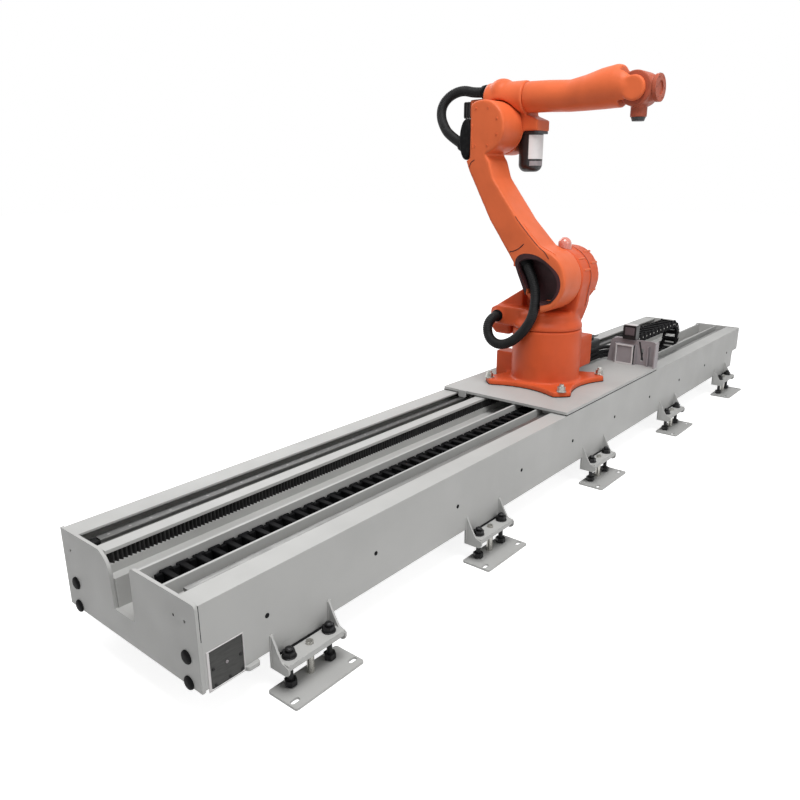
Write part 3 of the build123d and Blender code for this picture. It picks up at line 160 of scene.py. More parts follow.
castPaint = {"grain": 0.25, "coat": 0.03, "coatRough": 0.15, "specular": 0.2}
rolledSteel = {
    "patchScale": 6.0, "metal": 1, "stretch": (1, 18, 18), "grainScale": 60, "grain": 0.15, "edge": 0.001,
}
looks = {
    "framePaint": {
        "colour": (0.43, 0.43, 0.42), "dark": 0.94, "light": 1.04, "patchScale": 3.0, "rough": (0.45, 0.58),
        "grainScale": 900, "grain": 0.12, "edge": 0.0025,
    },
    # The robot's paints are lit and shaded copies of one paint: painted light on the arms, painted shade on
    # the base and turret, deeper painted shade on the wrist and tool flange
    "shadedRobotPaint": castPaint | {
        "colour": (0.62, 0.095, 0.028), "dark": 0.86, "light": 1.08, "patchScale": 5.0, "rough": (0.36, 0.5),
        "grainScale": 260, "edge": 0.004,
    },
    "litRobotPaint": castPaint | {
        "colour": (0.69, 0.138, 0.046), "dark": 0.88, "light": 1.08, "patchScale": 5.0, "rough": (0.36, 0.5),
        "grainScale": 260, "edge": 0.004,
    },
    "deepShadedRobotPaint": castPaint | {
        "colour": (0.4, 0.09, 0.048), "dark": 0.84, "light": 1.1, "patchScale": 12.0, "rough": (0.4, 0.52),
        "grainScale": 300, "edge": 0.003,
    },
    "lampLens": {
        "colour": (0.62, 0.2, 0.15), "dark": 0.9, "light": 1.1, "patchScale": 20.0, "rough": (0.12, 0.2),
        "grainScale": 200, "grain": 0.1, "edge": 0, "coat": 0.8, "coatRough": 0.06,
    },
    "machinedSteel": rolledSteel | {
        "colour": (0.4, 0.4, 0.39), "dark": 0.82, "light": 1.1, "rough": (0.3, 0.45),
    },
    "railSteel": rolledSteel | {
        "colour": (0.24, 0.24, 0.235), "dark": 0.8, "light": 1.15, "rough": (0.4, 0.55),
    },
    # Painted shade: the rear rail's steel, darker than the front rail's because the rear rail lies in shade
    "shadedRailSteel": rolledSteel | {
        "colour": (0.12, 0.12, 0.118), "dark": 0.75, "light": 1.25, "rough": (0.4, 0.55),
    },
    "rackSteel": {
        "colour": (0.03, 0.03, 0.03), "dark": 0.7, "light": 1.5, "patchScale": 30.0, "rough": (0.45, 0.6),
        "metal": 0.5, "grainScale": 200, "grain": 0.15, "edge": 0.0006,
    },
    "coverSteel": {
        "colour": (0.06, 0.06, 0.058), "dark": 0.82, "light": 1.15, "patchScale": 30.0, "rough": (0.5, 0.62),
        "stretch": (1, 1, 7), "grainScale": 240, "grain": 0.2, "edge": 0.001, "specular": 0.2,
    },
    "blackSteel": {
        "colour": (0.01, 0.01, 0.011), "dark": 0.7, "light": 1.6, "patchScale": 40.0, "rough": (0.3, 0.45),
        "metal": 0.4, "grainScale": 500, "grain": 0.15, "edge": 0.001,
    },
    "boltSteel": {
        "colour": (0.5, 0.49, 0.46), "dark": 0.8, "light": 1.1, "patchScale": 50.0, "rough": (0.22, 0.38),
        "metal": 1, "grainScale": 400, "grain": 0.15, "edge": 0.001,
    },
    "hoseRubber": {
        "colour": (0.006, 0.006, 0.0065), "dark": 0.7, "light": 1.7, "patchScale": 25.0, "rough": (0.5, 0.62),
        "grainScale": 700, "grain": 0.25, "edge": 0, "specular": 0.2,
    },
    "chainPlastic": {
        "colour": (0.006, 0.006, 0.0065), "dark": 0.8, "light": 1.9, "patchScale": 12.0, "rough": (0.5, 0.66),
        "grainScale": 800, "grain": 0.3, "edge": 0.001, "specular": 0.04,
    },
    "greyPaint": {
        "colour": (0.3, 0.272, 0.284), "dark": 0.9, "light": 1.08, "patchScale": 9.0, "rough": (0.42, 0.55),
        "grainScale": 800, "grain": 0.15, "edge": 0.0015,
    },
    "palePaint": {
        "colour": (0.62, 0.6, 0.6), "dark": 0.9, "light": 1.05, "patchScale": 14.0, "rough": (0.4, 0.52),
        "grainScale": 800, "grain": 0.15, "edge": 0.001,
    },
    # White for the painted highlight on the hanging motor
    "highlightWhitePaint": {
        "colour": (0.82, 0.82, 0.82), "dark": 0.93, "light": 1.03, "patchScale": 14.0, "rough": (0.3, 0.42),
        "grainScale": 800, "grain": 0.12, "edge": 0.001,
    },
    "panelPaint": {
        "colour": (0.11, 0.088, 0.096), "dark": 0.85, "light": 1.12, "patchScale": 20.0, "rough": (0.4, 0.52),
        "grainScale": 800, "grain": 0.15, "edge": 0.001,
    },
    "blackPaint": {
        "colour": (0.009, 0.009, 0.01), "dark": 0.8, "light": 1.7, "patchScale": 10.0, "rough": (0.32, 0.46),
        "grainScale": 700, "grain": 0.2, "edge": 0.002,
    },
    # Dark paint for the seams, and for painted shade in the hose pocket and along the arm's groove and notch
    "seamAndShadePaint": {
        "colour": (0.034, 0.01, 0.012), "dark": 0.3, "light": 1.5, "patchScale": 9.0, "rough": (0.5, 0.65),
        "grainScale": 500, "grain": 0.2, "edge": 0, "specular": 0.25,
    },
    # Black for the rubber parts, and for painted shade and shadow in gaps, in holes and under the robot's
    # foot
    "rubberAndShadeBlack": {
        "colour": (0.01, 0.01, 0.0105), "dark": 0.75, "light": 1.7, "patchScale": 60.0, "rough": (0.5, 0.64),
        "grainScale": 900, "grain": 0.2, "edge": 0.001, "specular": 0.05,
    },
}
finishes = {name: surfaceMaterial(name, look) for name, look in looks.items()}
finishOfSlot = {
    "frame_paint": "framePaint", "machined_steel": "machinedSteel", "black_steel": "blackSteel",
    "bolt_steel": "boltSteel", "black_rubber": "rubberAndShadeBlack", "black_plastic": "chainPlastic",
    "grey_paint": "greyPaint", "black_paint": "blackPaint", "robot_paint": "shadedRobotPaint",
}
finishOfNode = {
    "front_side_cover": "coverSteel", "rear_side_cover": "coverSteel", "front_rail": "railSteel",
    "rear_rail": "shadedRailSteel", "gear_rack": "rackSteel", "pinion": "rackSteel",
    "tool_flange": "deepShadedRobotPaint", "wrist_drive_cap": "blackPaint", "signal_lamp": "lampLens",
    "upper_hose": "hoseRubber", "lower_hose": "hoseRubber",
}
slotOfNode = {row["node"]: row["material_slot"] for row in frame["record"]["subparts"]}
for name, node in nodes.items():
    node.data.materials.clear()
    node.data.materials.append(finishes[finishOfNode.get(name, finishOfSlot[slotOfNode[name]])])
print("stage: materials on the packed nodes")


# Castings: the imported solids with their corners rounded, as cast parts have them
castings = {
    "robot_base": ("turretBase", "carriage", 0.006, 8, "shadedRobotPaint"),
    "turret": ("turretCasting", "turret", 0.006, 12, "shadedRobotPaint"),
    "lower_arm": ("lowerArmCasting", "lower_arm", 0.006, 22, "litRobotPaint"),
    "outlet_hood": ("outletHood", "lower_arm", 0.004, 5, "rubberAndShadeBlack"),
    "elbow_housing": ("elbowCasting", "elbow", 0.005, 9, "litRobotPaint"),
    "forearm": ("forearmCasting", "forearm", 0.005, 14, "litRobotPaint"),
    "wrist": ("wristCasting", "wrist", 0.004, 4, "deepShadedRobotPaint"),
}
lobeRib = {
    "outline": (
        (0.128, 0.967), (0.211, 0.915), (0.286, 0.866), (0.31, 0.845), (0.318, 0.815), (0.318, 0.745),
        (0.25, 0.745), (0.128, 0.84),
    ),
    "low": 0.05, "high": 0.18,
}


def addObject(name, mesh, finish):
    made = bpy.data.objects.new(name, mesh)
    scene.collection.objects.link(made)
    mesh.materials.clear()
    mesh.materials.append(finishes[finish])
    return made


def finalMesh(made):
    bpy.context.view_layer.update()
    depsgraph = bpy.context.evaluated_depsgraph_get()
    return bpy.data.meshes.new_from_object(made.evaluated_get(depsgraph), depsgraph=depsgraph)


def settle(made):
    # the modifiers' result kept as the object's own mesh
    settled = finalMesh(made)
    made.modifiers.clear()
    made.data = settled


def meshOf(work, name):
    mesh = bpy.data.meshes.new(name)
    work.to_mesh(mesh)
    work.free()
    return mesh


def prism(work, outline, low, high):
    # a side outline of (y, z) points carried from low to high along the track
    face = work.faces.new([work.verts.new((low, y, z)) for y, z in outline])
    moved = bmesh.ops.extrude_face_region(work, geom=[face])["geom"]
    verts = [item for item in moved if isinstance(item, bmesh.types.BMVert)]
    bmesh.ops.translate(work, vec=(high - low, 0, 0), verts=verts)
    sides = {side for vert in verts for side in vert.link_faces}
    bmesh.ops.recalc_face_normals(work, faces=list(sides | {face}))


def roundedCopy(node, name, body, voxel, passes, finish):
    mesh = nodes[node].data.copy()
    work = bmesh.new()
    work.from_mesh(mesh)
    bmesh.ops.remove_doubles(work, verts=work.verts, dist=0.00001)
    if node == "turret":
        prism(work, lobeRib["outline"], lobeRib["low"], lobeRib["high"])
    work.to_mesh(mesh)
    work.free()
    made = addObject(name, mesh, finish)
    remesh = made.modifiers.new("remesh", "REMESH")
    remesh.mode = "VOXEL"
    remesh.voxel_size = voxel
    remesh.use_smooth_shade = True
    soften = made.modifiers.new("soften", "SMOOTH")
    soften.factor = 0.5
    soften.iterations = passes
    settle(made)
    made.data.shade_smooth()
    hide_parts(node)
    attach(made, body)


for node, (name, body, voxel, passes, finish) in castings.items():
    roundedCopy(node, name, body, voxel, passes, finish)
print("stage: castings")


# Repeats: one part set at every point of a point mesh
def repeatTree():
    tree = bpy.data.node_groups.new("setParts", "GeometryNodeTree")
    face = tree.interface
    face.new_socket("Geometry", in_out="INPUT", socket_type="NodeSocketGeometry")
    face.new_socket("Part", in_out="INPUT", socket_type="NodeSocketObject")
    face.new_socket("Finish", in_out="INPUT", socket_type="NodeSocketMaterial")
    face.new_socket("Geometry", in_out="OUTPUT", socket_type="NodeSocketGeometry")
    source, sink = tree.nodes.new("NodeGroupInput"), tree.nodes.new("NodeGroupOutput")
    part = tree.nodes.new("GeometryNodeObjectInfo")
    place = tree.nodes.new("GeometryNodeInstanceOnPoints")
    real = tree.nodes.new("GeometryNodeRealizeInstances")
    paint = tree.nodes.new("GeometryNodeSetMaterial")
    link = tree.links.new
    link(source.outputs["Part"], part.inputs["Object"])
    link(source.outputs["Geometry"], place.inputs["Points"])
    link(part.outputs["Geometry"], place.inputs["Instance"])
    link(place.outputs["Instances"], real.inputs["Geometry"])
    link(real.outputs["Geometry"], paint.inputs["Geometry"])
    link(source.outputs["Finish"], paint.inputs["Material"])
    link(paint.outputs["Geometry"], sink.inputs["Geometry"])
    return tree


partsTree = repeatTree()


def socketId(tree, name):
    return next(item.identifier for item in tree.interface.items_tree if item.name == name)


def setParts(name, part, points, body, finish):
    mesh = bpy.data.meshes.new(name)
    mesh.from_pydata([tuple(point) for point in points], [], [])
    made = addObject(name, mesh, finish)
    nodesModifier = made.modifiers.new("setParts", "NODES")
    nodesModifier.node_group = partsTree
    nodesModifier[socketId(partsTree, "Part")] = part
    nodesModifier[socketId(partsTree, "Finish")] = finishes[finish]
    settle(made)
    if body:
        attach(made, body)
    return made


def joinRings(work, rings):
    # walls between neighbouring rings, and a face on each end
    for low, high in zip(rings, rings[1:]):
        for side in range(len(low)):
            following = (side + 1) % len(low)
            work.faces.new((low[side], low[following], high[following], high[side]))
    work.faces.new(rings[0][::-1])
    work.faces.new(rings[-1])
    for face in work.faces:
        face.smooth = len(face.verts) == 4


def lathe(name, outline, axis, sides):
    # a turned part from (distance along axis, radius) pairs
    work = bmesh.new()
    axis = Vector(axis).normalized()
    turn = Vector((0, 0, 1)).rotation_difference(axis).to_matrix()
    rings = []
    for along, radius in outline:
        ring = []
        for side in range(sides):
            angle = 2 * math.pi * side / sides
            spot = Vector((radius * math.cos(angle), radius * math.sin(angle), along))
            ring.append(work.verts.new(turn @ spot))
        rings.append(ring)
    joinRings(work, rings)
    return bpy.data.objects.new(name, meshOf(work, name))


def turnedAt(name, outline, axis, place, body, finish, sides=32):
    return setParts(name, lathe(name + "Shape", outline, axis, sides), [place], body, finish)


def capScrew(name, radius, height, axis):
    # cap screw with a bevelled rim and a socket in its head
    socket = radius * 0.5
    bevel = radius * 0.12
    outline = [
        (0, radius), (height - bevel, radius), (height, radius - bevel), (height, socket),
        (height * 0.45, socket * 0.9),
    ]
    return lathe(name, outline, axis, 16)


# Cable chain: each link has two side plates and two cross bars
chain = {
    "y": -0.1405, "width": 0.105, "height": 0.05, "pitch": 0.0601, "start": -2.44, "fixedEnd": 0.085,
    "bendX": 1.58, "bendZ": 0.472, "bendMiddle": 0.095, "bracketX": 0.866, "blendShort": 0.05,
    "plate": 0.012, "bar": 0.022,
}
linkShape = {
    "front": 0.012, "gap": 0.002, "bevel": 0.0035,
    "barLevel": (0.003, 0.009), "barSunk": 0.6, "barBevel": 0.002,
    "tab": (-0.006, 0.02), "tabInset": 0.002, "tabPlate": 0.004, "tabLower": 0.006, "tabBevel": 0.003,
}
pinShape = {"radius": 0.0045, "long": 0.002, "back": 0.012, "proud": 0.0003, "z": 0.004, "sides": 12}


def bevelledBox(work, low, high, bevel):
    low, high = Vector(low), Vector(high)
    made = bmesh.ops.create_cube(work, size=1)["verts"]
    bmesh.ops.scale(work, vec=high - low, verts=made)
    bmesh.ops.translate(work, vec=(low + high) / 2, verts=made)
    edges = {edge for vert in made for edge in vert.link_edges}
    bmesh.ops.bevel(work, geom=list(edges), offset=bevel, segments=1, affect="EDGES")


def chainLink(name, length):
    work = bmesh.new()
    halfWidth, half = chain["width"] / 2, chain["height"] / 2
    plate, bar, shape = chain["plate"], chain["bar"], linkShape
    tabHalf, (tabLow, tabHigh) = half - shape["tabLower"], shape["tab"]
    for side in (-1, 1):
        outer = sorted((side * halfWidth, side * (halfWidth - plate)))
        inner = sorted(side * (halfWidth - depth) for depth in (shape["tabInset"], plate + shape["tabPlate"]))
        bevelledBox(
            work, (shape["front"], outer[0], -half), (length - shape["gap"], outer[1], half), shape["bevel"],
        )
        bevelledBox(work, (tabLow, inner[0], -tabHalf), (tabHigh, inner[1], tabHalf), shape["tabBevel"])
    reach, middle = halfWidth - plate * shape["barSunk"], 0.5 * length
    for end in (-1, 1):
        low, high = sorted(end * (half - depth) for depth in shape["barLevel"])
        bevelledBox(
            work, (middle - bar / 2, -reach, low), (middle + bar / 2, reach, high), shape["barBevel"],
        )
    return bpy.data.objects.new(name, meshOf(work, name))


def chainPin(name, length):
    # the pivot pins that show on both sides of a link
    work = bmesh.new()
    radius = pinShape["radius"]
    for side in (-1, 1):
        y = side * (chain["width"] / 2 + pinShape["proud"])
        spot = Matrix.Translation((length - pinShape["back"], y, pinShape["z"]))
        bmesh.ops.create_cone(
            work, segments=pinShape["sides"], radius1=radius, radius2=radius, depth=pinShape["long"],
            cap_ends=True, matrix=spot @ Matrix.Rotation(math.pi / 2, 4, "X"),
        )
    return bpy.data.objects.new(name, meshOf(work, name))


def chainRun(name, node, start, end, middleZ):
    count = round((end - start) / chain["pitch"])
    step = (end - start) / count
    link = chainLink("link", step)
    points = [(start + index * step, chain["y"], middleZ) for index in range(count)]
    run = setParts(name, link, points, None, "chainPlastic")
    pins = setParts(name + "Pins", chainPin("pin", step), points, None, "boltSteel")
    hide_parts(node)
    return run, pins


def chainBend(name, node, body, upper):
    # three links, each turned by thirty degrees from the last, make a quarter of the bend
    length = chain["bendMiddle"] * math.pi / 6
    centre = Matrix.Translation((chain["bendX"], chain["y"], chain["bendZ"]))
    outward = Matrix.Translation((0, 0, -chain["bendMiddle"]))
    for suffix, part, finish, slot in (
        ("", chainLink("bendLink", length), "chainPlastic", "black_plastic"),
        ("Pins", chainPin("bendPin", length), "boltSteel", "bolt_steel"),
    ):
        turnedMesh = bmesh.new()
        for index in range(3):
            turned = math.radians(-(30 * index + (90 if upper else 0)))
            copy = part.data.copy()
            copy.transform(centre @ Matrix.Rotation(turned, 4, "Y") @ outward)
            turnedMesh.from_mesh(copy)
        made = addObject(name + suffix, meshOf(turnedMesh, name + suffix), finish)
        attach(made, body)
        if not suffix:
            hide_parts(node)


lowerZ = chain["bendZ"] - chain["bendMiddle"]
upperZ = chain["bendZ"] + chain["bendMiddle"]
fixedRun = chainRun("chainFixedLinks", "chain_fixed_run", chain["start"], chain["fixedEnd"], lowerZ)
for piece in fixedRun:
    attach(piece, "track")
lowerRun = chainRun("chainLowerLinks", "chain_lower_run", chain["fixedEnd"], chain["bendX"], lowerZ)
upperRun = chainRun("chainUpperLinks", "chain_upper_run", chain["bracketX"], chain["bendX"], upperZ)
for piece in lowerRun:
    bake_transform(piece)
for piece in upperRun:
    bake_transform(piece)
chainBend("chainBendLowerLinks", "chain_bend_lower", "chain_lower", False)
chainBend("chainBendUpperLinks", "chain_bend_upper", "chain_upper", True)
print("stage: cable chain")


# Hoses of the arm: corrugated tubes on smooth curves
hoses = {
    "lowerHose": {
        "points": [
            (-0.013, 0.25, 0.81), (-0.062, 0.25, 0.81), (-0.098, 0.262, 0.766), (-0.114, 0.238, 0.7),
            (-0.116, 0.176, 0.668), (-0.113, 0.1, 0.69), (-0.108, 0.03, 0.752), (-0.098, -0.02, 0.834),
            (-0.076, -0.026, 0.92), (-0.057, -0.004, 1.0171), (-0.057, 0.0494, 1.1133),
        ],
        "node": "lower_hose", "bodies": ("turret", "lower_arm"),
        "start": (0, 0.0, 0.73), "end": (0, -0.15, 0.991), "length": 0.80,
    },
    "upperHose": {
        "points": [
            (0.1, 0.45, 1.995), (0.1, 0.515, 1.995), (0.092, 0.59, 2.014), (0.074, 0.66, 1.992),
            (0.05, 0.7, 1.942), (0.022, 0.69, 1.88), (-0.014, 0.64, 1.822), (-0.038, 0.5842, 1.7738),
            (-0.038, 0.501, 1.728),
        ],
        "node": "upper_hose", "bodies": ("lower_arm", "elbow"),
        "start": (0, 0.5, 1.74), "end": (0, 0.5, 1.985), "length": 0.60,
    },
}
hoseLook = {"radius": 0.027, "rib": 0.0022, "ribPitch": 0.0095, "sides": 24, "step": 0.0019}
conduitLook = {
    "radius": 0.012, "rib": 0.0013, "ribPitch": 0.006, "sides": 12, "step": 0.0015,
    "y": -0.022, "exitX": 0.425, "exitZ": (0.53, 0.557, 0.584), "drop": 0.06, "farX": 0.843, "endY": -0.088,
    "slope": (0.06, 0.15), "length": 0.46,
}


def smoothPath(points):
    # the route's own NURBS line, read as fine points
    data = bpy.data.curves.new("route", "CURVE")
    data.dimensions = "3D"
    spline = data.splines.new("NURBS")
    spline.points.add(len(points) - 1)
    for point, place in zip(spline.points, points):
        point.co = (*place, 1)
    spline.order_u = 3
    spline.use_endpoint_u = True
    spline.resolution_u = 40
    route = bpy.data.objects.new("route", data)
    scene.collection.objects.link(route)
    line = [vert.co.copy() for vert in finalMesh(route).vertices]
    bpy.data.objects.remove(route)
    return line


def evenPoints(line, step):
    # the same line at even steps
    lengths = [0]
    for before, after in zip(line, line[1:]):
        lengths.append(lengths[-1] + (after - before).length)
    count = max(2, round(lengths[-1] / step))
    points, index = [], 0
    for number in range(count + 1):
        wanted = lengths[-1] * number / count
        while index < len(line) - 2 and lengths[index + 1] < wanted:
            index += 1
        span = lengths[index + 1] - lengths[index]
        points.append(line[index].lerp(line[index + 1], min(1, (wanted - lengths[index]) / span)))
    return points, lengths[-1]


def ribbedTube(name, points, radiusAt, sides, finish):
    # a tube of rings carried along the points without twisting
    work = bmesh.new()
    tangent = (points[1] - points[0]).normalized()
    across = tangent.orthogonal().normalized()
    rings = []
    walked = 0
    for index, point in enumerate(points):
        before, after = points[max(0, index - 1)], points[min(len(points) - 1, index + 1)]
        heading = (after - before).normalized()
        across = tangent.rotation_difference(heading) @ across
        tangent = heading
        beside = tangent.cross(across)
        if index:
            walked += (point - points[index - 1]).length
        radius = radiusAt(walked)
        rings.append([
            work.verts.new(point + radius * (math.cos(angle) * across + math.sin(angle) * beside))
            for angle in (2 * math.pi * side / sides for side in range(sides))
        ])
    joinRings(work, rings)
    return addObject(name, meshOf(work, name), finish)


def corrugation(radius, rib, pitch):
    return lambda along: radius - rib * (0.5 - 0.5 * math.cos(2 * math.pi * along / pitch)) ** 2


def corrugatedCord(name, points, look, node):
    path, measured = evenPoints(smoothPath(points), look["step"])
    wave = corrugation(look["radius"], look["rib"], look["ribPitch"])
    tube = ribbedTube(name, path, wave, look["sides"], "hoseRubber")
    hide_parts(node)
    print("cord", name, "is", round(measured, 3), "m long")
    return tube


for name, hose in hoses.items():
    tube = corrugatedCord(name, hose["points"], hoseLook, hose["node"])
    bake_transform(tube)
for number, exitZ in enumerate(conduitLook["exitZ"]):
    lowZ, startX, y = exitZ - conduitLook["drop"], conduitLook["exitX"], conduitLook["y"]
    slopeStart, slopeEnd = conduitLook["slope"]
    points = [
        (startX, y, exitZ), (startX + slopeStart, y, exitZ), (startX + slopeEnd, y, lowZ),
        (conduitLook["farX"], y, lowZ), (conduitLook["farX"], conduitLook["endY"], lowZ),
    ]
    tube = corrugatedCord(f"conduit{number}", points, conduitLook, "conduits")
    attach(tube, "carriage")
print("stage: hoses")


# Small parts that the castings and the frame carry
cornerRounds = 3  # how often a traced line's corners are cut
traceStep = 0.006
traceSides = 8


def finishMesh(work, name, body, finish):
    made = addObject(name, meshOf(work, name), finish)
    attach(made, body)


def boxes(name, parts, bevel, body, finish):
    work = bmesh.new()
    for low, high in parts:
        bevelledBox(work, low, high, bevel)
    finishMesh(work, name, body, finish)


def strip(work, rows):
    # a closed strip of rows with four corners each
    for before, after in zip(rows, rows[1:]):
        for corner in range(4):
            following = (corner + 1) % 4
            work.faces.new((before[corner], after[corner], after[following], before[following]))
    work.faces.new(rows[0])
    work.faces.new(rows[-1][::-1])
    bmesh.ops.recalc_face_normals(work, faces=work.faces)


def castingTree(name):
    mesh = bpy.data.objects[name].data
    corners = [vert.co for vert in mesh.vertices]
    return BVHTree.FromPolygons(corners, [tuple(face.vertices) for face in mesh.polygons])


def seated(tree, place, heading):
    # where a casting's surface is met from outside, or the place itself where nothing is met
    start = Vector(place) - 0.05 * Vector(heading)
    hit = tree.ray_cast(start, Vector(heading), 0.1)[0]
    return hit if hit else Vector(place)


def softened(points):
    # corners cut, the two ends kept
    for _ in range(cornerRounds):
        cut = [points[0]]
        for before, after in zip(points, points[1:]):
            before, after = Vector(before), Vector(after)
            cut += [before.lerp(after, 0.25), before.lerp(after, 0.75)]
        points = cut + [points[-1]]
    return [Vector(point) for point in points]


# Painted shade: a dark lining on the walls and floor of the arm's hose pocket, which lies in shade
pocketLiner = {
    "walls": (
        (0.022, 0.99), (0.0935, 1.1185), (0.0305, 1.1535), (-0.06, 1.144), (-0.15, 1.075), (-0.165, 1.0),
        (-0.12, 0.925), (-0.06, 0.925),
    ),
    "floorEnd": ((-0.057, 0.8775), (-0.008, 0.8765), (0.017, 0.938)),
    "rim": -0.0935, "floor": -0.0215, "inset": 0.0035, "thick": 0.002,
}


def addPocketShade():
    walls = softened(pocketLiner["walls"])
    inner = []
    for index, point in enumerate(walls):
        along = (walls[min(index + 1, len(walls) - 1)] - walls[max(index - 1, 0)]).normalized()
        inner.append(point + pocketLiner["inset"] * Vector((-along.y, along.x)))
    work = bmesh.new()
    rim = [work.verts.new((pocketLiner["rim"], *point)) for point in inner]
    floor = [work.verts.new((pocketLiner["floor"], *point)) for point in inner]
    ends = [work.verts.new((pocketLiner["floor"], *point)) for point in pocketLiner["floorEnd"]]
    for index in range(len(inner) - 1):
        work.faces.new((rim[index], rim[index + 1], floor[index + 1], floor[index]))
    work.faces.new(floor + ends)
    made = addObject("pocketLiner", meshOf(work, "pocketLiner"), "seamAndShadePaint")
    wall = made.modifiers.new("wall", "SOLIDIFY")
    wall.thickness = pocketLiner["thick"]
    wall.offset = 0
    settle(made)
    closed = bmesh.new()
    closed.from_mesh(made.data)
    bmesh.ops.recalc_face_normals(closed, faces=closed.faces)
    closed.to_mesh(made.data)
    closed.free()
    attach(made, "lower_arm")


pocketTrim = {
    "outer": (
        (-0.066, 0.91), (-0.1, 0.918), (-0.15, 0.95), (-0.174, 1.0), (-0.177, 1.04), (-0.158, 1.086),
        (-0.096, 1.133), (-0.03, 1.17), (0.045, 1.176), (0.086, 1.158), (0.1, 1.128), (0.094, 1.096),
        (0.041, 0.986), (0.028, 0.955),
    ),
    "face": -0.0972, "back": -0.0935,
}


def addPocketEdgeShade():
    # painted shade: flat dark edging on the arm's side between the pocket's walls and a smooth outline
    outerLine = evenPoints(softened(pocketTrim["outer"]), traceStep)[0]
    innerLine = evenPoints(softened(pocketLiner["walls"])[::-1], traceStep)[0]
    work = bmesh.new()
    rows = []
    for index in range(len(outerLine)):
        beside = innerLine[round(index * (len(innerLine) - 1) / (len(outerLine) - 1))]
        rows.append([
            work.verts.new((x, point.x, point.y))
            for x, point in (
                (pocketTrim["back"], outerLine[index]), (pocketTrim["face"], outerLine[index]),
                (pocketTrim["face"], beside), (pocketTrim["back"], beside),
            )
        ])
    strip(work, rows)
    finishMesh(work, "pocketTrim", "lower_arm", "seamAndShadePaint")


addPocketShade()
addPocketEdgeShade()

# Grooves, seams and raised edges that follow the castings
armTree, turretTree = castingTree("lowerArmCasting"), castingTree("turretCasting")
# armGroove and armNotch are dark lines of painted shade along a groove and a notch of the arm; the seams are
# dark joints
traces = {
    "armGroove": {
        "heading": (0.71, 0.52, -0.47), "radius": 0.002, "finish": "seamAndShadePaint",
        "points": (
            (-0.096, 0.108, 1.362), (-0.096, 0.085, 1.334), (-0.096, 0.024, 1.272), (-0.096, -0.038, 1.213),
            (-0.096, -0.074, 1.19), (-0.096, -0.1, 1.155),
        ),
    },
    "armNotch": {
        "heading": (1, 0, 0), "radius": 0.0026, "finish": "seamAndShadePaint",
        "points": ((-0.1, 0.05, 1.222), (-0.1, 0.078, 1.196), (-0.1, 0.108, 1.182), (-0.1, 0.134, 1.176)),
    },
    "armRidge": {
        "heading": (0, 0.75, -0.66), "radius": 0.0034, "finish": "litRobotPaint",
        "points": (
            (-0.07, 0.072, 1.32), (-0.07, 0.024, 1.272), (-0.07, -0.038, 1.213), (-0.07, -0.075, 1.195),
            (-0.07, -0.104, 1.155),
        ),
    },
    "elbowSeam": {
        "heading": (1, 0, 0), "radius": 0.0024, "finish": "seamAndShadePaint",
        "points": ((-0.1, 0.376, 1.642), (-0.1, 0.4, 1.628), (-0.1, 0.405, 1.606)),
    },
    "headEdge": {
        "heading": (1, 0, 0), "radius": 0.003, "finish": "litRobotPaint",
        "points": ((-0.1, 0.396, 1.82), (-0.1, 0.396, 1.76), (-0.1, 0.39, 1.7)),
    },
}
drum = {
    "y": -0.035, "z": 1.035, "radius": 0.165, "seamX": 0.2, "seamRadius": 0.0022, "degrees": (15, 238, 3),
    "bars": ((0.27, 126), (0.262, 152), (0.262, 206), (0.15, 140), (0.165, 163)),
    "barSize": (0.07, 0.012, 0.008), "bandX": 0.192, "bandRadius": 0.003,
}


def drumPlace(x, degrees, radius):
    angle = math.radians(degrees)
    return Vector((x, drum["y"] + radius * math.cos(angle), drum["z"] + radius * math.sin(angle)))


for name, trace in traces.items():
    route = evenPoints(softened(trace["points"]), traceStep)[0]
    line = [seated(armTree, place, trace["heading"]) for place in route]
    cord = ribbedTube(name, line, lambda walked: trace["radius"], traceSides, trace["finish"])
    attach(cord, "lower_arm")
for name, x, radius, finish in (
    ("drumSeam", drum["seamX"], drum["seamRadius"], "seamAndShadePaint"),
    ("drumBand", drum["bandX"], drum["bandRadius"], "shadedRobotPaint"),
):
    line = []
    for degrees in range(*drum["degrees"]):
        outward = drumPlace(0, degrees, 1) - drumPlace(0, degrees, 0)
        line.append(seated(turretTree, drumPlace(x, degrees, drum["radius"]), -outward))
    ring = ribbedTube(name, line, lambda walked: radius, traceSides, finish)
    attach(ring, "turret")


# Raised bars on the drum, in the lit robot paint as painted highlight against the drum's shaded paint
def addDrumBars():
    work = bmesh.new()
    long, wide, high = drum["barSize"]
    for x, degrees in drum["bars"]:
        bar = bmesh.new()
        bevelledBox(bar, (-long / 2, -wide / 2, -high / 2), (long / 2, wide / 2, high / 2), high * 0.35)
        place = Matrix.Translation(drumPlace(x, degrees, drum["radius"]))
        turn = Matrix.Rotation(math.radians(degrees - 90), 4, "X")
        bmesh.ops.transform(bar, matrix=place @ turn, verts=bar.verts)
        work.from_mesh(meshOf(bar, "drumBar"))
    finishMesh(work, "drumBars", "turret", "litRobotPaint")


addDrumBars()


# Painted shadow: a dark ring under the edge of the robot's foot, on the carriage plate
baseShadow = {"top": 0.4488, "grow": 1.008}


def addBaseShadow():
    work = bmesh.new()
    work.from_mesh(bpy.data.objects["turretBase"].data)
    bmesh.ops.bisect_plane(
        work, geom=work.verts[:] + work.edges[:] + work.faces[:], plane_co=(0, 0, baseShadow["top"]),
        plane_no=(0, 0, 1), clear_outer=True,
    )
    bmesh.ops.holes_fill(work, edges=[edge for edge in work.edges if edge.is_boundary], sides=0)
    bmesh.ops.scale(work, vec=(baseShadow["grow"], baseShadow["grow"], 1), verts=work.verts)
    finishMesh(work, "baseGasket", "carriage", "rubberAndShadeBlack")


addBaseShadow()
print("stage: lines of the castings")


# Screws and plugs
def ringOf(count, x, y, z, radius, backY=1):
    # a bolt circle, without the places behind backY
    turns = [2 * math.pi * (index + 0.5) / count for index in range(count)]
    places = [(x, y + radius * math.cos(turn), z + radius * math.sin(turn)) for turn in turns]
    return [place for place in places if place[1] < backY]


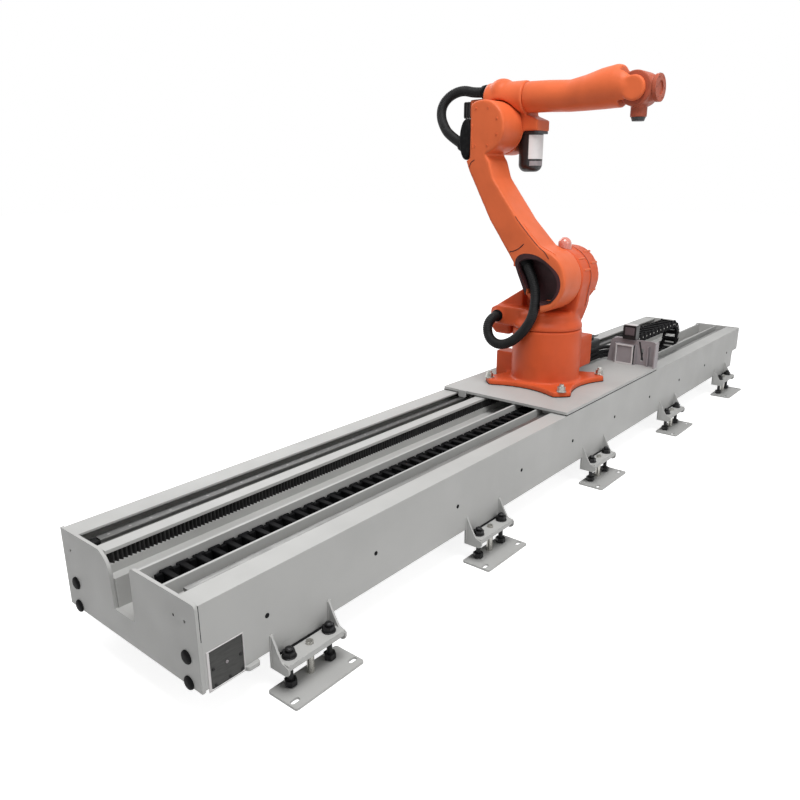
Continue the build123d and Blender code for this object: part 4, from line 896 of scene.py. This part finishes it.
screws = {
    "shoulderScrews": {
        "radius": 0.008, "height": 0.007, "axis": (1, 0, 0), "body": "turret", "finish": "boltSteel",
        "points": ringOf(10, 0.317, -0.035, 1.035, 0.138),
    },
    "elbowScrews": {
        "radius": 0.0055, "height": 0.004, "axis": (-1, 0, 0), "body": "lower_arm", "finish": "litRobotPaint",
        "points": ringOf(8, -0.0952, 0.335, 1.805, 0.1, 0.39),
    },
    "wristScrews": {
        "radius": 0.0035, "height": 0.003, "axis": (-1, 0, 0), "body": "wrist", "finish": "boltSteel",
        "points": ringOf(6, 0.0545, -0.421, 1.955, 0.04),
    },
}
for name, screw in screws.items():
    part = capScrew(name + "Shape", screw["radius"], screw["height"], screw["axis"])
    setParts(name, part, screw["points"], screw["body"], screw["finish"])

endPlugs = {"radius": 0.0225, "x": -2.4995, "y": (0.318, -0.318), "z": (0.237, 0.149)}
plugShape = [
    (along, share * endPlugs["radius"])
    for along, share in ((0, 1), (0.003, 1), (0.0062, 0.93), (0.0085, 0.74), (0.0096, 0.45), (0.01, 0.15))
]
plugPlaces = [(endPlugs["x"], y, z) for y in endPlugs["y"] for z in endPlugs["z"]]
plugPart = lathe("plug", plugShape, (-1, 0, 0), 28)
plugs = setParts("endPlugDomes", plugPart, plugPlaces, "track", "rubberAndShadeBlack")
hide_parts("end_plugs")

rails = {"y": (-0.252, 0.252), "top": 0.4036, "high": 0.0006, "reach": 2.4, "pitch": 0.08, "radius": 0.0055}
railLine = [(0, rails["radius"]), (rails["high"], rails["radius"] * 0.9)]
count = round(2 * rails["reach"] / rails["pitch"])
railX = [-rails["reach"] + index * rails["pitch"] for index in range(count + 1)]
railPlaces = [(x, y, rails["top"]) for y in rails["y"] for x in railX]
railPart = lathe("railPlug", railLine, (0, 0, 1), 10)
setParts("railPlugs", railPart, railPlaces, "track", "railSteel")
# Painted shade: dark discs on the side holes of the beams, where the holes are in shade
holes = {"first": -2.2515, "pitch": 0.5, "count": 10, "z": 0.273, "y": 0.38, "radius": 0.0085}
holeShadeLine = [(0, holes["radius"]), (0.0008, holes["radius"]), (0.0014, holes["radius"] * 0.7)]
for side, word in ((-1, "front"), (1, "rear")):
    holeX = [holes["first"] + index * holes["pitch"] for index in range(holes["count"])]
    places = [(x, side * holes["y"], holes["z"]) for x in holeX]
    part = lathe("holePlug", holeShadeLine, (0, side, 0), 16)
    setParts(word + "HolePlugs", part, places, "track", "rubberAndShadeBlack")
print("stage: screws and plugs")

# Side covers: pale border, five black screws and a paler one in the middle, and a dark strip of painted shade
# in the gap beside the corner
sideCover = {
    "low": (-2.468, 0.132), "high": (-2.349, 0.262), "face": 0.378, "border": 0.003, "wide": 0.009,
    "borderY": (0.3785, 0.3822), "screw": (0.0048, 0.003), "middle": (-2.408, 0.197),
    "screws": ((-2.456, 0.197), (-2.358, 0.194), (-2.451, 0.14), (-2.4, 0.14), (-2.355, 0.14)),
}
cornerShadeStrip = {"x": (-2.4892, -2.4868), "y": (0.379, 0.3803), "z": (0.305, 0.4235)}
for side, word in ((-1, "front"), (1, "rear")):
    face, (lowX, lowZ), (highX, highZ) = side * sideCover["face"], sideCover["low"], sideCover["high"]
    near, far = sorted(side * y for y in sideCover["borderY"])
    thin, wide = sideCover["border"], sideCover["wide"]
    bars = [
        (lowX - wide, lowX, lowZ - thin, highZ + thin), (highX, highX + thin, lowZ - thin, highZ + thin),
        (lowX, highX, highZ, highZ + thin), (lowX, highX, lowZ - thin, lowZ),
    ]
    border = [((x0, near, z0), (x1, far, z1)) for x0, x1, z0, z1 in bars]
    boxes(word + "CoverBorder", border, 0.0008, "track", "palePaint")
    screwShape = capScrew(word + "CoverScrew", *sideCover["screw"], (0, side, 0))
    places = [(x, face, z) for x, z in sideCover["screws"]]
    setParts(word + "CoverScrews", screwShape, places, "track", "blackSteel")
    middle = [(sideCover["middle"][0], face, sideCover["middle"][1])]
    setParts(word + "CoverMiddleScrew", screwShape, middle, "track", "greyPaint")
    near, far = sorted(side * y for y in cornerShadeStrip["y"])
    gap = [tuple(zip(cornerShadeStrip["x"], (near, far), cornerShadeStrip["z"]))]
    boxes(word + "CornerGap", gap, 0.0003, "track", "rubberAndShadeBlack")

# Levelling feet: washers, stud caps, painted shadow as dark strips in the gaps beside the beams, and weld
# beads on the gussets
feet = {
    "rows": (-2.117, -1.0585, 0, 1.0585, 2.117), "studX": 0.087, "studY": 0.416, "flange": (0.097, 0.117),
    "capZ": 0.141, "shadeHalf": 0.117, "shadeY": (0.3805, 0.391), "shadeZ": (0.1165, 0.119),
}
washer = {"radius": 0.0245, "bore": 0.012, "high": 0.0034, "rim": 0.0028}
beads = {
    "x": 0.125, "offset": 0.0052, "y": 0.381, "z": 0.1, "length": 0.1, "pitch": 0.0036,
    "radii": (0.0026, 0.0034),
}
footPlaces = [(row, side) for row in feet["rows"] for side in (-1, 1)]
studPlaces = [
    (row + turn * feet["studX"], side * feet["studY"]) for row, side in footPlaces for turn in (-1, 1)
]
washerLine = [
    (0, washer["radius"]), (washer["rim"], washer["radius"]), (washer["high"], washer["radius"] - 0.0007),
    (washer["high"], washer["bore"]),
]
washerPart = lathe("washer", washerLine, (0, 0, 1), 24)
washerLevels = (feet["flange"][1], feet["flange"][0] - washer["high"])
washerPlaces = [(x, y, z) for x, y in studPlaces for z in washerLevels]
setParts("footWashers", washerPart, washerPlaces, "track", "blackSteel")
capPart = lathe("studCap", [(0, 0.0135), (0.004, 0.0135), (0.0075, 0.011), (0.009, 0.006)], (0, 0, 1), 16)
capPlaces = [(x, y, feet["capZ"]) for x, y in studPlaces]
setParts("studCaps", capPart, capPlaces, "track", "blackSteel")
footShades = []
for row, side in footPlaces:
    ends = (row - feet["shadeHalf"], row + feet["shadeHalf"])
    footShades.append(tuple(zip(ends, sorted(side * y for y in feet["shadeY"]), feet["shadeZ"])))
boxes("footGaps", footShades, 0.0006, "track", "rubberAndShadeBlack")
beadRings = [
    (index * beads["pitch"] / 2, beads["radii"][index % 2])
    for index in range(2 * round(beads["length"] / beads["pitch"]))
]
beadPlaces = [
    (row + turn * beads["x"] + offset, side * beads["y"], beads["z"])
    for row, side in footPlaces for turn in (-1, 1) for offset in (-beads["offset"], beads["offset"])
]
beadPart = lathe("bead", beadRings, (0, 0, 1), 7)
setParts("weldBeads", beadPart, beadPlaces, "track", "framePaint")
print("stage: feet")

# Carriage: painted shadow as a dark strip in the gap under the plate's long edges, and the stop at the rear
# rail's near end
plateLow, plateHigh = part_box("carriage_plate")
plateEdgeShade = {"bottom": 0.4243, "overlap": 0.0002, "inset": 0.001, "reach": 0.012, "short": 0.002}
edgeShadeRows = (
    (plateLow.y + plateEdgeShade["inset"], plateLow.y + plateEdgeShade["reach"]),
    (plateHigh.y - plateEdgeShade["reach"], plateHigh.y - plateEdgeShade["inset"]),
)
edgeShadeX, edgeShadeTop = (plateLow.x + plateEdgeShade["short"], plateHigh.x - plateEdgeShade["short"]), plateLow.z + plateEdgeShade["overlap"]
edgeShadeBoxes = [((edgeShadeX[0], y0, plateEdgeShade["bottom"]), (edgeShadeX[1], y1, edgeShadeTop)) for y0, y1 in edgeShadeRows]
boxes("plateSeals", edgeShadeBoxes, 0.0008, "carriage", "rubberAndShadeBlack")
railStop = ((-2.4865, 0.232, 0.3755), (-2.4385, 0.272, 0.4015))
boxes("railStops", [railStop], 0.003, "track", "rubberAndShadeBlack")

# Cable stand: pale frame round the terminal box, face of the junction box with a pale painted highlight on
# its top, dark slot
stand = {
    "frame": 0.009, "proud": 0.003, "sunk": 0.001,
    "shadowWide": 0.006, "shadowGap": 0.0005, "shadowRise": 0.004,
    "slot": ((-0.262, 0.588), (-0.289, 0.474)), "slotX": 0.8122, "slotWide": 0.011, "slotFlat": 0.25,
}
boxLow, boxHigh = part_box("terminal_box")
faceX, bar = boxLow.x, stand["frame"]
insideLow, insideHigh = boxLow.y + bar, boxHigh.y - bar
frameBars = [
    (boxLow.y, insideLow, boxLow.z, boxHigh.z), (insideHigh, boxHigh.y, boxLow.z, boxHigh.z),
    (insideLow, insideHigh, boxLow.z, boxLow.z + bar), (insideLow, insideHigh, boxHigh.z - bar, boxHigh.z),
]
frontX, backX = faceX - stand["proud"], faceX + stand["sunk"]
bars = [((frontX, y0, z0), (backX, y1, z1)) for y0, y1, z0, z1 in frameBars]
boxes("terminalFrame", bars, 0.001, "carriage", "palePaint")
shadow = (
    (backX, boxLow.y - stand["shadowWide"], boxLow.z + stand["shadowRise"]),
    (boxHigh.x, boxLow.y - stand["shadowGap"], boxHigh.z),
)
boxes("terminalShadowGap", [shadow], 0.001, "carriage", "blackPaint")
junction = {
    "faceX": (-0.0008, 0.006), "faceY": (-0.23, -0.17), "faceZ": (0.6245, 0.6715),
    "inset": 0.004, "highlightSunk": 0.001,
}
junctionLow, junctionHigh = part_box("junction_box")
faceSpan = [junctionLow.x + shift for shift in junction["faceX"]]
junctionFace = tuple(zip(faceSpan, junction["faceY"], junction["faceZ"]))
boxes("junctionFace", [junctionFace], 0.0015, "carriage", "panelPaint")
inset = junction["inset"]
# painted highlight: a pale plate on the junction box's top
topHighlight = (
    (junctionLow.x + inset, junctionLow.y + inset, junctionHigh.z - junction["highlightSunk"]),
    (junctionHigh.x - inset, junctionHigh.y - inset, junctionHigh.z + inset),
)
boxes("junctionLid", [topHighlight], 0.0015, "carriage", "palePaint")


def addStandSlot():
    (topY, topZ), (lowY, lowZ) = stand["slot"]
    x = stand["slotX"]
    line = evenPoints([Vector((x, topY, topZ)), Vector((x, lowY, lowZ))], 0.01)[0]
    slotTube = ribbedTube("standSlot", line, lambda walked: stand["slotWide"] / 2, 12, "blackPaint")
    for vert in slotTube.data.vertices:
        vert.co.x = x + (vert.co.x - x) * stand["slotFlat"]
    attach(slotTube, "carriage")


addStandSlot()

# Servo motor of the track drive: cooling ribs on its back and top
motorLow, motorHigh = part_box("drive_motor")
ribs = {
    "x": (0.665, 0.86), "pitch": 0.0135, "wide": 0.005, "count": 7, "firstZ": 0.014, "firstY": 0.01,
    "sunk": 0.001, "proud": 0.004,
}
ribBoxes = []
for index in range(ribs["count"]):
    z = motorLow.z + ribs["firstZ"] + index * ribs["pitch"]
    back = (motorHigh.y - ribs["sunk"], motorHigh.y + ribs["proud"])
    ribBoxes.append(tuple(zip(ribs["x"], back, (z, z + ribs["wide"]))))
for index in range(ribs["count"]):
    y = motorLow.y + ribs["firstY"] + index * ribs["pitch"]
    top = (motorHigh.z - ribs["sunk"], motorHigh.z + ribs["proud"])
    ribBoxes.append(tuple(zip(ribs["x"], (y, y + ribs["wide"]), top)))
boxes("driveMotorRibs", ribBoxes, 0.001, "carriage", "blackPaint")

# Hanging motor: painted highlight, a white patch round the lit front of its black body and a grey one below
# it
motorHighlight = {
    "x": 0.175, "y": 0.192, "flatX": 0.005, "flatY": 0.008, "round": 0.0555, "from": 192, "to": 290,
    "low": 1.648, "high": 1.77, "thick": 0.003, "band": (1.614, 1.638), "steps": 24,
}


def highlightPatch(name, low, high, fromAngle, toAngle, finish):
    work = bmesh.new()
    steps, columns = motorHighlight["steps"], []
    for index in range(steps + 1):
        angle = math.radians(fromAngle + (toAngle - fromAngle) * index / steps)
        across, along = math.cos(angle), math.sin(angle)
        middleX = motorHighlight["x"] + math.copysign(motorHighlight["flatX"], across)
        middleY = motorHighlight["y"] + math.copysign(motorHighlight["flatY"], along)
        outer, inner = (
            (middleX + (motorHighlight["round"] - lost) * across, middleY + (motorHighlight["round"] - lost) * along)
            for lost in (0, motorHighlight["thick"])
        )
        corners = ((outer, low), (outer, high), (inner, high), (inner, low))
        columns.append([work.verts.new((*spot, z)) for spot, z in corners])
    strip(work, columns)
    finishMesh(work, name, "elbow", finish)


highlightFrom, highlightTo = motorHighlight["from"], motorHighlight["to"]
highlightPatch("motorFrontShell", motorHighlight["low"], motorHighlight["high"], highlightFrom, highlightTo, "highlightWhitePaint")
highlightPatch("motorLowBand", *motorHighlight["band"], highlightFrom + 8, highlightTo - 4, "greyPaint")

# Collars where the hoses meet the castings, and the small stop on the tool flange
collars = {
    "lobeCollar": {
        "place": (-0.012, 0.25, 0.81), "axis": (-1, 0, 0), "body": "turret", "radius": 0.0335, "long": 0.013,
    },
    "elbowCollar": {
        "place": (0.1, 0.394, 1.995), "axis": (0, 1, 0), "body": "elbow", "radius": 0.0368, "long": 0.066,
    },
}
for name, collar in collars.items():
    radius, long = collar["radius"], collar["long"]
    outline = [(-0.004, radius), (long * 0.7, radius), (long, radius * 0.93), (long + 0.001, radius * 0.84)]
    turnedAt(name, outline, collar["axis"], collar["place"], collar["body"], "chainPlastic")
flangeStop = {"place": (0.112, -0.514, 2.006), "radius": 0.008, "high": 0.014}
stopOutline = [
    (0, flangeStop["radius"]), (flangeStop["high"] * 0.6, flangeStop["radius"]),
    (flangeStop["high"], flangeStop["radius"] * 0.5),
]
turnedAt(
    "flangeStop", stopOutline, (0, 0, 1), flangeStop["place"], "tool_flange", "greyPaint", 16,
)
print("stage: carriage and arm details")

# Floor and light: pale seamless floor, white behind, soft lamps
stage = {"size": 60, "z": -0.0005, "paper": 0.6, "glow": 0.84, "world": 0.34, "lampSize": 4.0}
lamps = {
    "keyLamp": {"place": (-2.0, -1.5, 6.5), "target": (0, 0, 0.6), "watts": 345},
    "sideLamp": {"place": (-1.0, -7.0, 3.5), "target": (0.3, 0, 0.8), "watts": 110},
    "backLamp": {"place": (2.0, 5.5, 5.0), "target": (0.3, 0, 0.8), "watts": 120},
}


def mixForCamera(tree, hidden, seen, surface):
    # one shader for camera and glossy rays, the other for all the rest
    path = tree.nodes.new("ShaderNodeLightPath")
    either = tree.nodes.new("ShaderNodeMath")
    either.operation = "MAXIMUM"
    mix = tree.nodes.new("ShaderNodeMixShader")
    tree.links.new(path.outputs["Is Camera Ray"], either.inputs[0])
    tree.links.new(path.outputs["Is Glossy Ray"], either.inputs[1])
    tree.links.new(either.outputs["Value"], mix.inputs["Fac"])
    tree.links.new(hidden, mix.inputs[1])
    tree.links.new(seen, mix.inputs[2])
    tree.links.new(mix.outputs["Shader"], surface.inputs["Surface"])


def addStage():
    bpy.ops.mesh.primitive_plane_add(size=stage["size"], location=(0, 0, stage["z"]))
    floor = bpy.context.active_object
    floor.name = "floor"
    material, tree, shader = newMaterial("floorPaper")
    shader.inputs["Base Color"].default_value = (*(stage["paper"],) * 3, 1)
    shader.inputs["Roughness"].default_value = 1
    shader.inputs["Specular IOR Level"].default_value = 0
    glow = tree.nodes.new("ShaderNodeEmission")
    glow.inputs["Color"].default_value = (1, 1, 1, 1)
    glow.inputs["Strength"].default_value = stage["glow"]
    both = tree.nodes.new("ShaderNodeAddShader")
    tree.links.new(shader.outputs["BSDF"], both.inputs[0])
    tree.links.new(glow.outputs["Emission"], both.inputs[1])
    mixForCamera(tree, shader.outputs["BSDF"], both.outputs["Shader"], tree.nodes["Material Output"])
    floor.data.materials.append(material)


def addLamp(name, place, target, watts):
    data = bpy.data.lights.new(name, "AREA")
    data.shape = "DISK"
    data.size = stage["lampSize"]
    data.energy = watts
    lamp = bpy.data.objects.new(name, data)
    scene.collection.objects.link(lamp)
    lamp.location = place
    lamp.rotation_euler = (Vector(target) - Vector(place)).to_track_quat("-Z", "Y").to_euler()


def addWorld():
    world = bpy.data.worlds.new("studio")
    scene.world = world
    world.use_nodes = True
    tree = world.node_tree
    dim, white = tree.nodes["Background"], tree.nodes.new("ShaderNodeBackground")
    for background, strength in ((dim, stage["world"]), (white, 1)):
        background.inputs["Color"].default_value = (1, 1, 1, 1)
        background.inputs["Strength"].default_value = strength
    mixForCamera(tree, dim.outputs["Background"], white.outputs["Background"], tree.nodes["World Output"])


addStage()
addWorld()
for name, lamp in lamps.items():
    addLamp(name, lamp["place"], lamp["target"], lamp["watts"])
scene.view_settings.view_transform = "Standard"
print("stage: floor and lamps")
